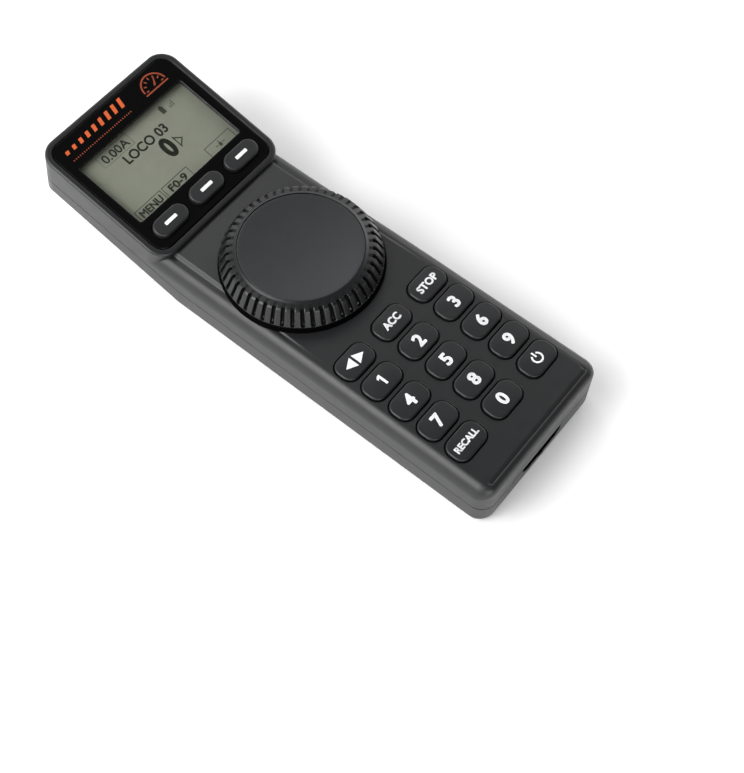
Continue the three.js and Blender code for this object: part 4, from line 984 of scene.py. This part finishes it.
cap_rings = []
for inset, drop_z in ((0, 1.45), (0, 0.36), (0.06, 0.22), (0.2, 0.14), (0.42, 0.12)):
    cap_rings.append([(x, DIAL.y + y, Z_TOP - drop_z) for x, y in circle(R_CAP - inset, ROUND)])
for i in range(1, 15):
    t = 1 - i / 15
    radius = (R_CAP - 0.42) * t
    height = Z_TOP - 0.12 - CAP_DISH * (1 - t * t)
    cap_rings.append([(x, DIAL.y + y, height) for x, y in circle(radius, ROUND)])
disc = loft("knob_cap", cap_rings)
finished(disc, "dial", CAP, ["dial_cap"])

# ------------------------------------------------------------------ floor, light and camera

FLOOR_HALF = 3
FLOOR_GLOW = 0.15

floor = piece("floor", [(-FLOOR_HALF, -FLOOR_HALF, 0), (FLOOR_HALF, -FLOOR_HALF, 0),
                        (FLOOR_HALF, FLOOR_HALF, 0), (-FLOOR_HALF, FLOOR_HALF, 0)], [(0, 1, 2, 3)])
floor_material = moulded("floor_white", (0.93, 0.93, 0.93), 0.6, grain=300, depth=0.00001, tint=0.003)
floor.data.materials.append(floor_material)
floor_shader = floor_material.node_tree.nodes["Principled BSDF"]
floor_shader.inputs["Emission Color"].default_value = (1.0, 1.0, 1.0, 1.0)
floor_shader.inputs["Emission Strength"].default_value = FLOOR_GLOW


# name, position, point it faces, size, power
SOFTBOXES = (("box_back", (0.50, 0.97, 1.12), (0, 0.03, 0), 0.45, 2.8),
             ("box_left", (-0.98, 0.3, 0.8), (0, 0, 0), 0.9, 11.0),
             ("box_high", (-0.62, 0.42, 1.12), (0, 0, 0), 0.7, 7.0),
             ("box_right", (1.1, 0.15, 0.75), (0, 0, 0), 0.7, 3.4),
             ("box_front", (-0.75, -1.0, 0.42), (0, 0, 0), 0.6, 4.6))
for name, position, target, size, power in SOFTBOXES:
    light = bpy.data.lights.new(name, "AREA")
    light.energy = power
    light.shape = "RECTANGLE"
    light.size = light.size_y = size
    box = bpy.data.objects.new(name, light)
    box.location = position
    box.rotation_euler = (Vector(target) - Vector(position)).to_track_quat("-Z", "Y").to_euler()
    bpy.context.scene.collection.objects.link(box)


def calculated(tree, operation, *terms, clamp=False):
    """A math node. Each term is a number or another node's output."""
    made = node(tree, "ShaderNodeMath", operation=operation, use_clamp=clamp)
    for socket, term in zip(made.inputs, terms):
        if isinstance(term, float):
            socket.default_value = term
        else:
            tree.links.new(term, socket)
    return made.outputs["Value"]


# A tent with white walls, a dim ceiling and a dim upper side behind the bottom end.
world = bpy.data.worlds.new("studio")
world.use_nodes = True
sky = world.node_tree
direction = sky.nodes.new("ShaderNodeTexCoord")
parts = sky.nodes.new("ShaderNodeSeparateXYZ")
sky.links.new(direction.outputs["Generated"], parts.inputs["Vector"])
height_glow = ramp(sky, parts.outputs["Z"],
                   [(0.0, (1.0,) * 3), (0.45, (1.0,) * 3), (0.62, (0.5,) * 3), (0.8, (0.11,) * 3)])
below = calculated(sky, "MULTIPLY_ADD", parts.outputs["Z"], -4.0, 1.0, clamp=True)
along = calculated(sky, "ADD", parts.outputs["Y"], 1.0)
end_glow = ramp(sky, calculated(sky, "ADD", along, below), [(0.2, (0.1,) * 3), (0.7, (1.0,) * 3)])
glow = sky.nodes.new("ShaderNodeVectorMath")
glow.operation = "MULTIPLY"
sky.links.new(height_glow, glow.inputs[0])
sky.links.new(end_glow, glow.inputs[1])
sky.links.new(glow.outputs["Vector"], sky.nodes["Background"].inputs["Color"])
sky.nodes["Background"].inputs["Strength"].default_value = 1.0
bpy.context.scene.world = world
bpy.context.scene.view_settings.view_transform = "Standard"

SENSOR = 36
# The focal length is given for a frame this many units high.
FOCAL, FRAME_HEIGHT = 1250, 773

camera_data = bpy.data.cameras.new("camera")
camera_data.sensor_width = SENSOR
camera_data.lens = FOCAL * SENSOR / FRAME_HEIGHT
camera_data.clip_start = 0.01
camera = bpy.data.objects.new("camera", camera_data)
bpy.context.scene.collection.objects.link(camera)
position = Vector((-0.17348, -0.16791, 0.39234))
target = Vector((-0.02378, -0.04743, 0.0246))
aim = (target - position).to_track_quat("-Z", "Y").to_matrix().to_4x4()
camera.matrix_world = Matrix.Translation(position) @ aim @ Matrix.Rotation(math.radians(0.21), 4, "Z")
bpy.context.scene.camera = camera
